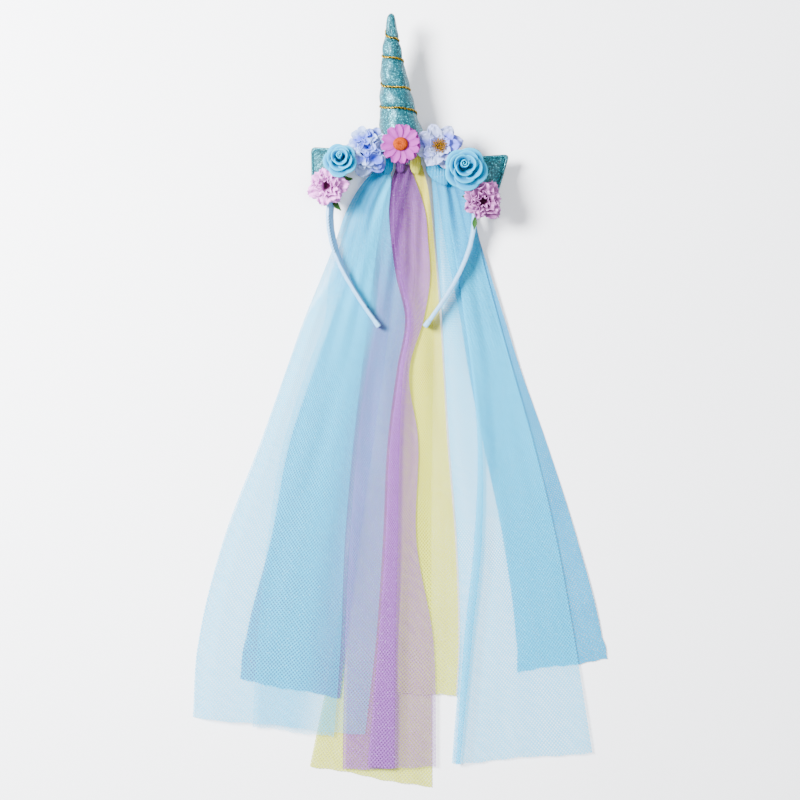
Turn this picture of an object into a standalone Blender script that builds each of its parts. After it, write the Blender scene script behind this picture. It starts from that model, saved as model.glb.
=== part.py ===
"""Unicorn costume headband: a ribbon-covered band with a stuffed horn, two ears, a garland of
cloth and foam flowers, and a veil of eight tulle tails knotted round the crown.
It is laid flat, with the flowers up and the veil spread out, as it is laid on a table.
Metres, +Z up from the surface, +Y from the veil's hem towards the horn's tip."""

import math

import bmesh
import bpy
import numpy as np
from mathutils import Matrix, Vector

MM = 0.001

# Walls and gaps
GAP = 0.3 * MM               # between pieces that touch on the real object
CLOTH = 1.0 * MM             # wall of one tulle layer
LAYER_GAP = 0.35 * MM        # between tulle layers that lie on each other
FOLD_WALL = 0.8 * MM         # cloth at the turn of a fold
PETAL = 1.2 * MM             # wall of a petal

# Band, measured in its own plane to the middle of the strip
BAND_RADIUS = 58.6 * MM      # crown arc
BAND_DROP = 90.5 * MM        # from the arc's centre down to the ends
BAND_END_SPREAD = 18.4 * MM  # from the middle out to each end
BAND_UPPER_HANDLE = 30.0 * MM
BAND_LOWER_HANDLE = 42.0 * MM
BAND_END_ANGLE = 53.0        # degrees of each end from the X axis
BAND_WIDTH = 9.0 * MM        # across the strip at the crown
BAND_END_WIDTH = 6.4 * MM    # across the strip at its ends
BAND_THICKNESS = 3.3 * MM
BAND_CORNER = 1.0 * MM       # bevel along the strip's edges
BAND_LEAN = 7.0              # degrees that the limbs' front edge leans outwards
BAND_TWIST = 24.0            # degrees more where the left limb is twisted open
BAND_END_LIFT = 6.05 * MM    # from the surface to the lower edge of the ends, over the veil

# Horn
HORN_LENGTH = 98.5 * MM
HORN_RADIUS = 17.9 * MM      # at the base
HORN_TIP_SHARE = 0.13        # tip's radius as a share of the base's
HORN_RISE = 7.0              # degrees that the tip is lifted from the surface
HORN_LEAN = 5.2              # degrees that the tip leans to the left
HORN_BEND = 2.4 * MM         # how far the middle bows to the left
HORN_PUFF = 1.5 * MM         # how far the stuffing bulges between two turns of cord
HORN_SIDES = 16
HORN_RINGS = 37
CORD_RADIUS = 0.9 * MM
# Where the cord crosses the front of the horn, as shares of its length from the tip
CORD_CROSSINGS = (0.185, 0.35, 0.58, 0.758, 0.935)
CORD_START = -0.5            # turns from the first crossing
CORD_END = 4.25

# Ears
EAR_CORNER_REACH = 15.0 * MM # lower corner beyond the band's outer face
EAR_PUFF = 2.6 * MM          # half the thickness in the middle
EAR_EDGE = 1.0 * MM          # half the thickness of the flat seam
EAR_ROUND = 5.0 * MM         # radius of the tip and of the lower corner
EAR_SEAT = 0.9 * MM          # from the band's outer face, whose front edge leans outwards
# side, degrees from the crown to the top edge's root, the tip and the lower corner,
# how far the tip stands from the band, and degrees that the ear droops to the surface
EARS = {
    "ear_left": (-1, 31.0, 53.0, 77.0, 36.0 * MM, 26.0),
    "ear_right": (1, 41.0, 60.5, 83.0, 39.5 * MM, 3.0),
}

# Flowers. Places are degrees along the band from the crown and how far outwards from the
# strip's middle; tilts are degrees to the right and towards the horn.
FOOT = 4.2 * MM              # radius of a flower's foot on the band
DAISY_PLACE = (-0.4, -4.0 * MM)
DAISY_TILT = (-3.0, 0.0)
DAISY_RADIUS = 16.7 * MM
DAISY_HEIGHT = 15.9 * MM
DAISY_DISC = 5.9 * MM
DAISY_DOME = 3.2 * MM
ANEMONE_PLACE = (28.6, 2.8 * MM)
ANEMONE_TILT = (5.0, 2.0)
ANEMONE_RADIUS = 19.0 * MM
ANEMONE_HEIGHT = 9.5 * MM
ANEMONE_TUFT = 4.6 * MM
HYDRANGEA_PLACE = (-26.3, 0.1 * MM)
HYDRANGEA_TILT = (-6.0, -2.0)
HYDRANGEA_RADIUS = 14.2 * MM
HYDRANGEA_HEIGHT = 14.5 * MM
HYDRANGEA_SKIRT = 15.5 * MM
HYDRANGEA_REACH = 0.62       # how much further the skirt reaches towards the veil
# place, radius, height, tilt, and how the outline differs from round
CARNATIONS = {
    "carnation_left": (
        (-68.5, 4.0 * MM), 17.2 * MM, 13.0 * MM, (-9.0, -8.0), dict(bias=0.16, way=-130.0)),
    "carnation_right": (
        (80.1, 6.1 * MM), 17.2 * MM, 13.0 * MM, (9.0, -8.0), dict(oval=0.13, way=90.0)),
}
CARNATION_WAVE = 0.9 * MM
ROSE_VALLEY = 0.08           # depth of the valleys between a rose's petals, as a share of its height
# place, radius, height, tilt
ROSES = {
    "rose_left": ((-50.0, 4.6 * MM), 12.6 * MM, 24.0 * MM, (-4.0, 4.0)),
    "rose_right": ((55.5, 2.0 * MM), 16.8 * MM, 25.0 * MM, (4.0, 2.0)),
}

# Leaves: degrees along the band, lift above the strip, length, width, heading in degrees
LEAF_WALL = 1.0 * MM
LEAVES = {
    "leaf_left_upper": (-64.0, 0.6 * MM, 10.0 * MM, 7.0 * MM, -20.0),
    "leaf_left_lower": (-84.0, -0.4 * MM, 8.0 * MM, 5.0 * MM, -75.0),
    "leaf_right_upper": (76.0, 0.3 * MM, 9.0 * MM, 6.0 * MM, 176.0),
    "leaf_right_lower": (94.0, 0.3 * MM, 8.0 * MM, 4.0 * MM, -95.0),
}

# Veil
VEIL_START = 17.4 * MM       # from the band's middle at the crown to the first row
VEIL_LENGTH = 509.5 * MM     # from the first row to the longest hem
VEIL_HALF_WIDTH = 170.0 * MM
VEIL_LIFT = 9.0 * MM         # height of the lowest tail where it leaves the knots
KNOT_WALL = 1.2 * MM         # tulle wrapped over the band's front, back and outer face
KNOT_PUFF = 24.0 * MM        # how far a knot hangs from the band's inner face
KNOT_EDGE = 0.75             # where a knot's rounded edge starts, as a share of its half length
KNOT_SHOULDER = 0.72         # how much of the puff the edge takes part in
FIRST_ROWS = 5.0 * MM        # least distance between rows below a knot
FOLD_RUN = 14.0 * MM         # over which a pleated tail comes down beside its pleat

# degrees from the crown, length along the band
KNOTS = {
    "knot_blue_left": (-11.8, 9.6 * MM),
    "knot_violet": (-1.2, 8.8 * MM),
    "knot_yellow": (11.2, 9.6 * MM),
    "knot_blue_right": (31.0, 22.0 * MM),
}
# Round a knot, from its outer face over the front to the inner side and back below. The first
# three columns are 1, 0 or -1 times the strip's half thickness, its half width and the knot's
# wall over the front or back; then how far it hangs, as a share of the puff, and its length.
KNOT_ROUND = (
    (1, 0.0, 0, 0.0, 0.75), (1, 1.0, 1, 0.0, 0.75), (0, 1.0, 1, 0.0, 0.78),
    (-1, 1.0, 1, 0.22, 0.85), (-1, 0.55, 1, 0.70, 0.97), (-1, 0.0, 0, 1.0, 1.0),
    (-1, -0.55, -1, 0.96, 1.0), (-1, -1.0, -1, 0.45, 0.85),
    (0, -1.0, -1, 0.0, 0.78), (1, -1.0, -1, 0.0, 0.75),
)

# All tails share rows down the veil, so that layers stay parallel: a row's share of the
# veil's length, and its height as a share of the height at the knots.
ROWS = (0.0, 0.032, 0.073, 0.121, 0.178, 0.243, 0.324, 0.437, 0.599, 0.760)
DRAPE = (1.0, 0.84, 0.62, 0.38, 0.16, 0.05, 0.0, 0.0, 0.0, 0.0)
FIRST_FREE_ROW = 5           # from here down, an edge with nothing under it lies on the surface

# knot, level in the pile, whether the left edge lies on the surface, the hem's share of the
# veil's length at its left and right, then the left and right edges at each row and at the
# hem, as shares of the veil's half width from the middle
TAILS = {
    "tulle_blue_left_upper": ("knot_blue_left", 3, True, (0.885, 0.913),
        (-.106, -.193, -.265, -.318, -.386, -.468, -.555, -.675, -.859, -.979, -1.008),
        (-.053, -.053, -.063, -.053, -.029, .014, -.024, -.068, -.092, -.125, -.178)),
    "tulle_blue_left_lower": ("knot_blue_left", 2, False, (0.900, 0.917),
        (-.106, -.174, -.236, -.289, -.347, -.370, -.455, -.564, -.646, -.695, -.719),
        (-.053, -.068, -.092, -.116, -.140, -.164, -.193, -.232, -.275, -.294, -.328)),
    "tulle_violet_left": ("knot_violet", 1, True, (0.825, 0.854),
        (-.024, -.058, -.106, -.174, -.256, -.333, -.420, -.535, -.632, -.752, -.781),
        (.019, .014, .005, -.014, -.034, -.058, -.087, -.135, -.203, -.265, -.299)),
    "tulle_violet_right": ("knot_violet", 2, False, (0.968, 0.964),
        (-.024, -.053, -.077, -.101, -.111, -.130, -.169, -.212, -.251, -.275, -.285),
        (.034, .072, .111, .125, .135, .106, .036, .077, .068, .150, .164)),
    "tulle_yellow_left": ("knot_yellow", 0, False, (0.964, 1.0),
        (.053, .034, .005, -.034, -.068, -.101, -.135, -.183, -.251, -.323, -.444),
        (.092, .106, .121, .135, .145, .150, .150, .145, .140, .140, .145)),
    "tulle_yellow_right": ("knot_yellow", 1, False, (0.847, 0.850),
        (.053, .043, .034, .029, .029, .029, .029, .024, .010, -.019, -.034),
        (.096, .121, .140, .154, .169, .183, .198, .217, .256, .272, .260)),
    "tulle_blue_right_upper": ("knot_blue_right", 1, True, (0.961, 0.942),
        (.135, .145, .154, .164, .179, .193, .207, .227, .265, .280, .241),
        (.217, .285, .328, .367, .410, .463, .531, .627, .743, .830, .916)),
    "tulle_blue_right_lower": ("knot_blue_right", 0, False, (0.812, 0.793),
        (.145, .164, .183, .207, .241, .280, .318, .386, .487, .550, .555),
        (.217, .294, .338, .376, .429, .492, .569, .690, .844, .965, .989)),
}
# A pleat is a Z-fold that runs down a tail: its two folded edges at each row and at the hem,
# as shares of the veil's half width
PLEATS = {
    "tulle_violet_right": (
        (-.012, -.036, -.046, -.040, -.018, .024, -.012, -.056, -.080, -.114, -.166),
        (.008, -.014, -.022, -.016, .004, .046, .010, -.010, -.019, -.029, -.034)),
    "tulle_blue_right_upper": (
        (.164, .188, .212, .241, .270, .299, .333, .362, .347, .298, .258),
        (.181, .205, .230, .258, .287, .316, .352, .386, .386, .338, .281)),
}

# Sizes that follow
LAYER = CLOTH + LAYER_GAP
VEIL_TOP = BAND_RADIUS - VEIL_START
ARC_LENGTH = BAND_RADIUS * math.pi / 2
CROWN_HEIGHT = HORN_RADIUS * math.cos(math.radians(HORN_RISE))
BAND_SLOPE = (CROWN_HEIGHT - BAND_END_LIFT - BAND_END_WIDTH / 2) / (BAND_RADIUS + BAND_DROP)
OVER_KNOT = KNOT_WALL + GAP
CORD_PITCH = CORD_CROSSINGS[1] - CORD_CROSSINGS[0]
CORD_PLACES = (CORD_CROSSINGS[0] - CORD_PITCH, *CORD_CROSSINGS, CORD_CROSSINGS[-1] + CORD_PITCH)
CORD_TURNS = range(-1, len(CORD_CROSSINGS) + 1)


def smooth(x):
    x = min(max(x, 0.0), 1.0)
    return x * x * (3.0 - 2.0 * x)


def material(name, color, roughness, metallic=0.0):
    made = bpy.data.materials.new(name)
    made.use_nodes = True
    shader = made.node_tree.nodes["Principled BSDF"]
    shader.inputs["Base Color"].default_value = (*color, 1.0)
    shader.inputs["Roughness"].default_value = roughness
    shader.inputs["Metallic"].default_value = metallic
    made.diffuse_color = (*color, 1.0)
    return made


def placed(name, data, finish, parent, place=None):
    """Links a piece under its parent, at a matrix in the parent's space."""
    data.materials.append(finish)
    made = bpy.data.objects.new(name, data)
    bpy.context.scene.collection.objects.link(made)
    made.parent = parent
    made.matrix_local = place if place is not None else Matrix()
    return made


def sheet_triangles(a, b, c, d):
    """A quad as two triangles, from the left end of a row to the right end of the next, so that
    a thin sheet's two faces stay parallel."""
    if a.co.x <= b.co.x:
        return (a, b, c), (a, c, d)
    return (a, b, d), (b, c, d)


def mesh_of(name, loops, ring=False, poles=False, thin=False):
    """Bridges closed loops of equally many points into a solid. Its ends are capped, or meet
    in a point each, or the last loop is joined to the first."""
    work = bmesh.new()
    rows = [[work.verts.new(p) for p in loop] for loop in loops]
    pairs = list(zip(rows, rows[1:]))
    if ring:
        pairs.append((rows[-1], rows[0]))
    for upper, lower in pairs:
        for i in range(len(upper)):
            j = (i + 1) % len(upper)
            quad = (upper[i], upper[j], lower[j], lower[i])
            for corners in sheet_triangles(*quad) if thin else (quad,):
                work.faces.new(corners)
    if not ring:
        ends = [work.faces.new(row) for row in (rows[0], rows[-1])]
        if poles:
            bmesh.ops.poke(work, faces=ends)
    bmesh.ops.recalc_face_normals(work, faces=work.faces)
    mesh = bpy.data.meshes.new(name)
    work.to_mesh(mesh)
    work.free()
    mesh.shade_smooth()
    mesh.set_sharp_from_angle(angle=math.radians(40))
    return mesh


# Band. Distances along it are measured from the crown, and are negative to the left.

def limb_point(t):
    """Right limb, from the crown arc's end down to the band's end."""
    end = Vector((BAND_END_SPREAD, -BAND_DROP))
    angle = math.radians(BAND_END_ANGLE)
    start = Vector((BAND_RADIUS, 0.0))
    upper = start - Vector((0.0, BAND_UPPER_HANDLE))
    lower = end + Vector((math.cos(angle), math.sin(angle))) * BAND_LOWER_HANDLE
    u = 1.0 - t
    return start * u**3 + upper * (3 * u * u * t) + lower * (3 * u * t * t) + end * t**3


def band_line():
    """Points of the right half with their distances along it."""
    turns = np.linspace(0.0, math.pi / 2, 91)
    arc = [Vector((math.sin(a), math.cos(a))) * BAND_RADIUS for a in turns]
    line = arc + [limb_point(t) for t in np.linspace(0.0, 1.0, 61)[1:]]
    along = [0.0]
    for p, q in zip(line, line[1:]):
        along.append(along[-1] + (q - p).length)
    return np.array([tuple(p) for p in line]), np.array(along)


LINE, ALONG = band_line()
HALF_LENGTH = ALONG[-1]


def plane_height(y):
    """Height of the band's middle plane, which slopes down to the ends."""
    return CROWN_HEIGHT - (BAND_RADIUS - y) * BAND_SLOPE


def band_middle(s):
    y = np.interp(abs(s), ALONG, LINE[:, 1])
    return Vector((math.copysign(np.interp(abs(s), ALONG, LINE[:, 0]), s), y, plane_height(y)))


def band_lean(s):
    share = s / ARC_LENGTH
    lean = BAND_LEAN * smooth((abs(share) - 0.45) / 0.5)
    twist = smooth((-share - 0.6) / 0.4) * smooth((1.75 + share) / 0.5) if s < 0 else 0.0
    return math.radians(lean + BAND_TWIST * twist)


def on_band(s, outwards, frontwards):
    """A point by its distance along the band, outwards from its middle, and to its front."""
    step = 0.5 * MM
    tangent = (band_middle(s + step) - band_middle(s - step)).normalized()
    out = tangent.cross(Vector((0.0, 0.0, -1.0))).normalized()
    front = out.cross(-tangent).normalized()
    lean = band_lean(s)
    leaning_out = out * math.cos(lean) - front * math.sin(lean)
    leaning_front = front * math.cos(lean) + out * math.sin(lean)
    return band_middle(s) + leaning_out * outwards + leaning_front * frontwards


def strip_width(s):
    share = smooth((abs(s) - 0.5 * ARC_LENGTH) / (HALF_LENGTH - 0.5 * ARC_LENGTH))
    return BAND_WIDTH + (BAND_END_WIDTH - BAND_WIDTH) * share


def make_band(parent, finish):
    """The strip: a bevelled section carried along the middle line, with rounded ends."""
    arc = np.linspace(0.0, ARC_LENGTH, 12)
    limb = np.linspace(ARC_LENGTH, HALF_LENGTH - BAND_THICKNESS, 9)[1:]
    right = [(s, 1.0) for s in (*arc, *limb)]
    right += [(HALF_LENGTH - 0.4 * BAND_THICKNESS, 0.86), (HALF_LENGTH, 0.5)]
    stations = [(-s, size) for s, size in right[:0:-1]] + right
    loops = []
    for s, size in stations:
        a, b, c = size * BAND_THICKNESS / 2, size * strip_width(s) / 2, size * BAND_CORNER
        front_half = [(a, b - c), (a - c, b), (c - a, b), (-a, b - c)]
        back_half = [(-out, -front) for out, front in front_half]
        loops.append([on_band(s, out, front) for out, front in front_half + back_half])
    placed("band", mesh_of("band", loops), finish, parent)


def degrees_along(angle):
    return math.radians(angle) * BAND_RADIUS


# Horn, in its own space: +Y from the base to the tip, +Z to its front. The share t is
# counted from the tip, and angles from the front to the left.

def horn_turn(t):
    """Turns of cord between its first crossing and t."""
    return float(np.interp(t, CORD_PLACES, CORD_TURNS))


def horn_share(turn):
    return float(np.interp(turn, CORD_TURNS, CORD_PLACES))


def horn_radius(t, angle):
    """A blunt cone that bulges between the turns of its cord."""
    cone = HORN_RADIUS * (HORN_TIP_SHARE + (1 - HORN_TIP_SHARE) * t**0.85)
    bulge = abs(math.sin(math.pi * horn_turn(t) + angle / 2)) ** 0.7
    fade = smooth(t / 0.08) * (1.0 - smooth((t - 0.93) / 0.07))
    return cone - HORN_PUFF * (1.0 - bulge) * fade


def horn_point(t, angle, radius):
    x = -radius * math.sin(angle) - HORN_BEND * 4 * t * (1 - t)
    return Vector((x, HORN_LENGTH * (1.0 - t), radius * math.cos(angle)))


BLUNT_TIP = ((0.0, 0.35), (0.008, 0.72), (0.025, 0.93))
CONE = [(t, 1.0) for t in np.linspace(0.055, 1.0, HORN_RINGS - len(BLUNT_TIP))]
HORN_PLACES = [*BLUNT_TIP, *CONE]


def horn_surface(t, angle):
    """Largest radius of the horn within a cord's width of t."""
    shares = [place for place, size in HORN_PLACES]
    radii = [horn_radius(place, angle) * size for place, size in HORN_PLACES]
    reach = 1.6 * CORD_RADIUS / HORN_LENGTH
    return max(np.interp(p, shares, radii) for p in np.linspace(t - reach, t + reach, 7))


def make_horn(parent, cloth, cord):
    angles = [2 * math.pi * i / HORN_SIDES for i in range(HORN_SIDES)]
    rings = [[horn_point(t, a, horn_radius(t, a) * size) for a in angles] for t, size in HORN_PLACES]
    corner_dip = HORN_RADIUS * math.sin(math.radians(HORN_LEAN))
    seat = BAND_RADIUS + BAND_THICKNESS / 2 + GAP + OVER_KNOT + corner_dip
    rise = Matrix.Rotation(math.radians(HORN_RISE), 4, "X")
    lean = Matrix.Rotation(math.radians(HORN_LEAN), 4, "Z")
    place = Matrix.Translation((0.0, seat, CROWN_HEIGHT)) @ lean @ rise
    make_cord(placed("horn", mesh_of("horn", rings, poles=True), cloth, parent, place), cord)


def make_cord(horn, finish):
    """Metallic cord wound down the horn in its grooves, from behind the tip to the base."""
    curve = bpy.data.curves.new("horn_cord", "CURVE")
    curve.dimensions = "3D"
    curve.bevel_depth = CORD_RADIUS
    curve.bevel_resolution = 1
    curve.use_fill_caps = True
    steps = round((CORD_END - CORD_START) * HORN_SIDES)
    spline = curve.splines.new("POLY")
    spline.points.add(steps)
    for k, point in enumerate(spline.points):
        turn = CORD_START + k / HORN_SIDES
        t, angle = horn_share(turn), -2 * math.pi * turn
        radius = horn_surface(t, angle) + 1.25 * GAP + CORD_RADIUS
        point.co = (*horn_point(t, angle, radius), 1.0)
    placed("horn_cord", curve, finish, horn)


# Ears

def rounded(corners, steps=4):
    """A closed outline with each corner rounded by its own radius; a radius of 0 stays sharp."""
    made = []
    for i, (at, radius) in enumerate(corners):
        if radius == 0:
            made.append(at)
            continue
        before, after = corners[i - 1][0] - at, corners[(i + 1) % len(corners)][0] - at
        reach = min(1.1 * radius, 0.45 * before.length, 0.45 * after.length)
        a, b = at + before.normalized() * reach, at + after.normalized() * reach
        for u in np.linspace(0, 1, steps + 1):
            made.append(a * (1 - u) ** 2 + at * (2 * u * (1 - u)) + b * u * u)
    return made


def polar(side, angle, radius):
    """A point of the band's plane by its side, its angle from the crown and its radius."""
    turn = math.radians(angle)
    return Vector((side * radius * math.sin(turn), radius * math.cos(turn), 0.0))


def make_ear(name, parent, finish):
    """A padded triangle with a flat seam round it, whose base follows the band's outer face."""
    side, top_angle, tip_angle, corner_angle, reach, droop = EARS[name]
    base = BAND_RADIUS + BAND_THICKNESS / 2 + EAR_SEAT
    corners = [(polar(side, tip_angle, base + reach), EAR_ROUND),
               (polar(side, corner_angle, base + EAR_CORNER_REACH), EAR_ROUND)]
    corners += [(polar(side, a, base), 0) for a in np.linspace(corner_angle + 4.0, top_angle, 9)]
    hinge = polar(side, (top_angle + corner_angle) / 2, base)
    outline = [p - hinge for p in rounded(corners)]
    middle = sum(outline, Vector()) / len(outline)
    shells = ((1.0, EAR_EDGE), (0.86, EAR_EDGE), (0.78, 0.7 * EAR_PUFF), (0.45, 0.95 * EAR_PUFF))
    below = [(size, -height) for size, height in shells[::-1]]
    loops = [
        [middle + (p - middle) * size + Vector((0.0, 0.0, height)) for p in outline]
        for size, height in (*below, *shells)
    ]
    along = Vector((side * hinge.y, -side * hinge.x, 0.0))
    slope = Matrix.Rotation(math.atan(BAND_SLOPE), 4, "X")
    turn = Matrix.Rotation(-math.radians(side * droop), 4, along)
    seat = Vector((hinge.x, hinge.y, plane_height(hinge.y)))
    place = Matrix.Translation(seat) @ slope @ turn
    placed(name, mesh_of(name, loops, poles=True), finish, parent, place)


# Flowers. A flower is one solid of rings: its foot on the band, out and back along each
# layer of petals, and up to its middle.

def flower_ring(sides, radius, height, lobes=0, notch=0.0, wave=0.0, phase=0.0,
                bias=0.0, reach=0.0, oval=0.0, way=0.0):
    """One ring. Lobes is the number of petals, notch how deep the cuts between them go as a
    share of the radius, wave how far the edge goes up and down, and phase where the first
    petal points. Bias, reach and oval make the ring larger towards one way, only there, or
    along it."""
    ring = []
    for a in (2 * math.pi * i / sides for i in range(sides)):
        cut = (0.5 - 0.5 * math.cos(lobes * (a - phase))) ** 1.5
        b = a - math.radians(way)
        size = 1.0 + bias * math.cos(b) + oval * math.cos(2 * b)
        size += reach * (0.5 + 0.5 * math.cos(b)) ** 3
        r = radius * (1.0 - notch * cut) * size
        lift = wave * math.sin(2 * lobes * (a - phase))
        ring.append(Vector((r * math.cos(a), r * math.sin(a), height + lift)))
    return ring


def layer(radius, height, inner, rise, lobes, notch, wave, phase, **shape):
    """Out along a layer's underside, round its rim and back along its top."""
    petals = dict(lobes=lobes, notch=notch, wave=wave, phase=phase, **shape)
    return [
        dict(radius=inner, height=height - rise),
        dict(radius=0.97 * radius, height=height - 0.6 * PETAL, **petals),
        dict(radius=radius, height=height + 0.4 * PETAL, **petals),
        dict(radius=inner, height=height - rise + 1.3 * PETAL),
    ]


def seat_of(place, tilt, over=0.0):
    """Where a flower stands above the strip's front edge, and over what is wrapped there."""
    s, outwards = degrees_along(place[0]), place[1]
    front, face = strip_width(s) / 2, BAND_THICKNESS / 2
    at = on_band(s, outwards, front)
    around = [(s + k * FOOT, side * face) for k in (-1.2, 0.0, 1.2) for side in (-1, 1)]
    highest = max(on_band(*spot, front).z for spot in around)
    drop = FOOT * math.sin(math.radians(math.hypot(*tilt)))
    right = Matrix.Rotation(math.radians(tilt[0]), 4, "Y")
    up = Matrix.Rotation(-math.radians(tilt[1]), 4, "X")
    return Matrix.Translation((at.x, at.y, highest + GAP + over + drop)) @ right @ up


def flower(name, sides, rows, place, parent, finish):
    rings = [flower_ring(sides, **row) for row in rows]
    return placed(name, mesh_of(name, rings, poles=True), finish, parent, place)


def make_daisy(parent, petals, disc):
    inner, dip = 4.2 * MM, 2.2 * MM
    rows = [dict(radius=0.95 * FOOT, height=0.0)]
    rows.append(dict(radius=0.7 * FOOT, height=DAISY_HEIGHT - 4.0 * MM))
    rows += layer(DAISY_RADIUS, DAISY_HEIGHT, inner, dip, 12, 0.30, 0.0, 0.2)
    seat = seat_of(DAISY_PLACE, DAISY_TILT, OVER_KNOT)
    daisy = flower("daisy_petals", 48, rows, seat, parent, petals)
    floor = DAISY_HEIGHT - dip + 1.3 * PETAL + GAP
    dome = ((0.8, 0.0), (1.0, 0.18), (0.95, 0.5), (0.7, 0.85), (0.35, 1.0))
    rows = [dict(radius=DAISY_DISC * size, height=DAISY_DOME * rise) for size, rise in dome]
    flower("daisy_disc", 14, rows, Matrix.Translation((0.0, 0.0, floor)), daisy, disc)


def make_carnation(name, parent, finish):
    """Three layers of ruffled petals, steeper and smaller towards the middle."""
    place, radius, height, tilt, shape = CARNATIONS[name]
    rows = [dict(radius=FOOT, height=0.0), dict(radius=0.76 * FOOT, height=0.35 * height)]
    # size, height, inner radius, notch, phase
    layers = (
        (1.0, 0.62, 0.30, 0.16, 0.0),
        (0.80, 0.86, 0.26, 0.26, 0.45),
        (0.52, 1.0, 0.18, 0.30, 0.1),
    )
    for size, rise, inner, notch, phase in layers:
        rows += layer(radius * size, height * rise, radius * inner, 0.16 * height, 7, notch,
                      CARNATION_WAVE, phase, **shape)
    rows.append(dict(radius=0.1 * radius, height=0.93 * height))
    flower(name, 28, rows, seat_of(place, tilt), parent, finish)


def make_rose(name, parent, finish):
    """A foam rose: cupped petals nested round a rolled bud, on a narrow neck."""
    place, radius, height, tilt = ROSES[name]
    rows = [
        dict(radius=FOOT, height=0.0),
        dict(radius=0.36 * radius, height=0.47 * height),
        dict(radius=0.86 * radius, height=0.55 * height),
    ]
    # size, height, petals, phase
    cups = ((1.0, 0.70, 5, 0.0), (0.78, 0.84, 4, 0.5), (0.54, 0.94, 3, 1.2), (0.30, 1.0, 3, 0.3))
    following = [cup[0] for cup in cups[1:]] + [0.12]
    for (size, rise, lobes, phase), smaller in zip(cups, following):
        rim = dict(height=height * rise, lobes=lobes, notch=0.07, phase=phase)
        rows += [dict(radius=radius * size, **rim), dict(radius=radius * size - PETAL, **rim)]
        valley = radius * (size + smaller) / 2 - 0.4 * PETAL
        rows.append(dict(radius=valley, height=height * (rise - ROSE_VALLEY)))
    rows.append(dict(radius=0.06 * radius, height=height * (1.0 - ROSE_VALLEY)))
    flower(name, 22, rows, seat_of(place, tilt), parent, finish)


def make_hydrangea(parent, finish):
    """A wide skirt of petals that reaches over the veil, below three layers of florets."""
    height = HYDRANGEA_HEIGHT
    radius = HYDRANGEA_RADIUS
    rows = [dict(radius=0.86 * FOOT, height=0.0), dict(radius=0.7 * FOOT, height=0.2 * height)]
    rows += layer(HYDRANGEA_SKIRT, 0.36 * height, 0.95 * FOOT, 0.5 * MM, 7, 0.16, 0.3 * MM, 0.2,
                  reach=HYDRANGEA_REACH, way=-95.0)
    # size, height, inner radius, notch, phase
    layers = (
        (1.0, 0.74, 0.34, 0.20, 0.3),
        (0.74, 0.90, 0.26, 0.24, 0.9),
        (0.44, 1.0, 0.16, 0.2, 0.2),
    )
    for size, rise, inner, notch, phase in layers:
        rows += layer(radius * size, height * rise, radius * inner, 2.0 * MM, 6, notch, 0.5 * MM, phase)
    rows.append(dict(radius=0.08 * radius, height=0.95 * height))
    seat = seat_of(HYDRANGEA_PLACE, HYDRANGEA_TILT)
    flower("hydrangea_florets", 24, rows, seat, parent, finish)


def make_anemone(parent, petals, stamens):
    height, inner, dip = ANEMONE_HEIGHT, 5.2 * MM, 4.4 * MM
    rows = [dict(radius=FOOT, height=0.0), dict(radius=0.8 * FOOT, height=1.7 * MM)]
    rows += layer(ANEMONE_RADIUS, 0.72 * height, inner + 0.3 * MM, dip, 9, 0.16, 0.3 * MM, 0.35)
    rows += layer(0.8 * ANEMONE_RADIUS, height, inner, dip, 8, 0.20, 0.4 * MM, 0.0)
    seat = seat_of(ANEMONE_PLACE, ANEMONE_TILT, OVER_KNOT)
    anemone = flower("anemone_petals", 36, rows, seat, parent, petals)
    floor = height - dip + 1.3 * PETAL + GAP
    tuft = ((0.5, 0.0), (0.75, 0.5), (1.0, 1.0), (0.62, 0.9), (0.3, 1.05))
    rows = [dict(radius=ANEMONE_TUFT * size, height=ANEMONE_TUFT * rise, lobes=8, notch=0.2 * rise)
            for size, rise in tuft]
    flower("anemone_stamens", 16, rows, Matrix.Translation((0.0, 0.0, floor)), anemone, stamens)


def make_leaf(name, parent, finish):
    """A pointed leaf whose root lies on the strip's front edge."""
    angle, lift, length, width, heading = LEAVES[name]
    # share of the length, share of the width, rise as a share of the length
    blade = (
        (-0.3, 0.2, 0.0), (0.1, 0.7, 0.0), (0.45, 1.0, 0.05), (0.75, 0.62, 0.05), (1.0, 0.08, -0.01))
    loops = []
    for t, size, rise in blade:
        x, z, half = t * length, rise * length, size * width / 2
        under = [Vector((x, -half, z)), Vector((x, 0.0, z - 0.5 * LEAF_WALL)), Vector((x, half, z))]
        over = [p + Vector((0.0, 0.0, LEAF_WALL)) for p in under[::-1]]
        loops.append(under + over)
    place = seat_of((angle, 0.0), (0.0, 0.0), lift) @ Matrix.Rotation(math.radians(heading), 4, "Z")
    placed(name, mesh_of(name, loops), finish, parent, place)


# Knots and tails. Each pair of tails is one strip of tulle, tied round the band.

def knot_sections(name):
    angle, length = KNOTS[name]
    s = degrees_along(angle)
    out, front = BAND_THICKNESS / 2 + GAP, strip_width(s) / 2 + GAP
    sections = []
    for outwards, frontwards, rise, hang, share in KNOT_ROUND:
        half = share * length / 2
        bow = (share * length) ** 2 / (8 * BAND_RADIUS) if outwards > 0 else 0.0
        hole = (outwards * out + bow, frontwards * front)
        skin = (hole[0] + max(outwards, 0) * KNOT_WALL, hole[1] + rise * KNOT_WALL)
        edge = ((hole[0] + skin[0]) / 2, (hole[1] + skin[1]) / 2)
        down = Vector((0.0, -KNOT_PUFF * hang, 0.0))
        sections.append([
            on_band(s - half, *hole),
            on_band(s + half, *hole),
            on_band(s + half, *edge) + down * KNOT_SHOULDER,
            on_band(s + KNOT_EDGE * half, *skin) + down,
            on_band(s - KNOT_EDGE * half, *skin) + down,
            on_band(s - half, *edge) + down * KNOT_SHOULDER,
        ])
    return sections


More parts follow.
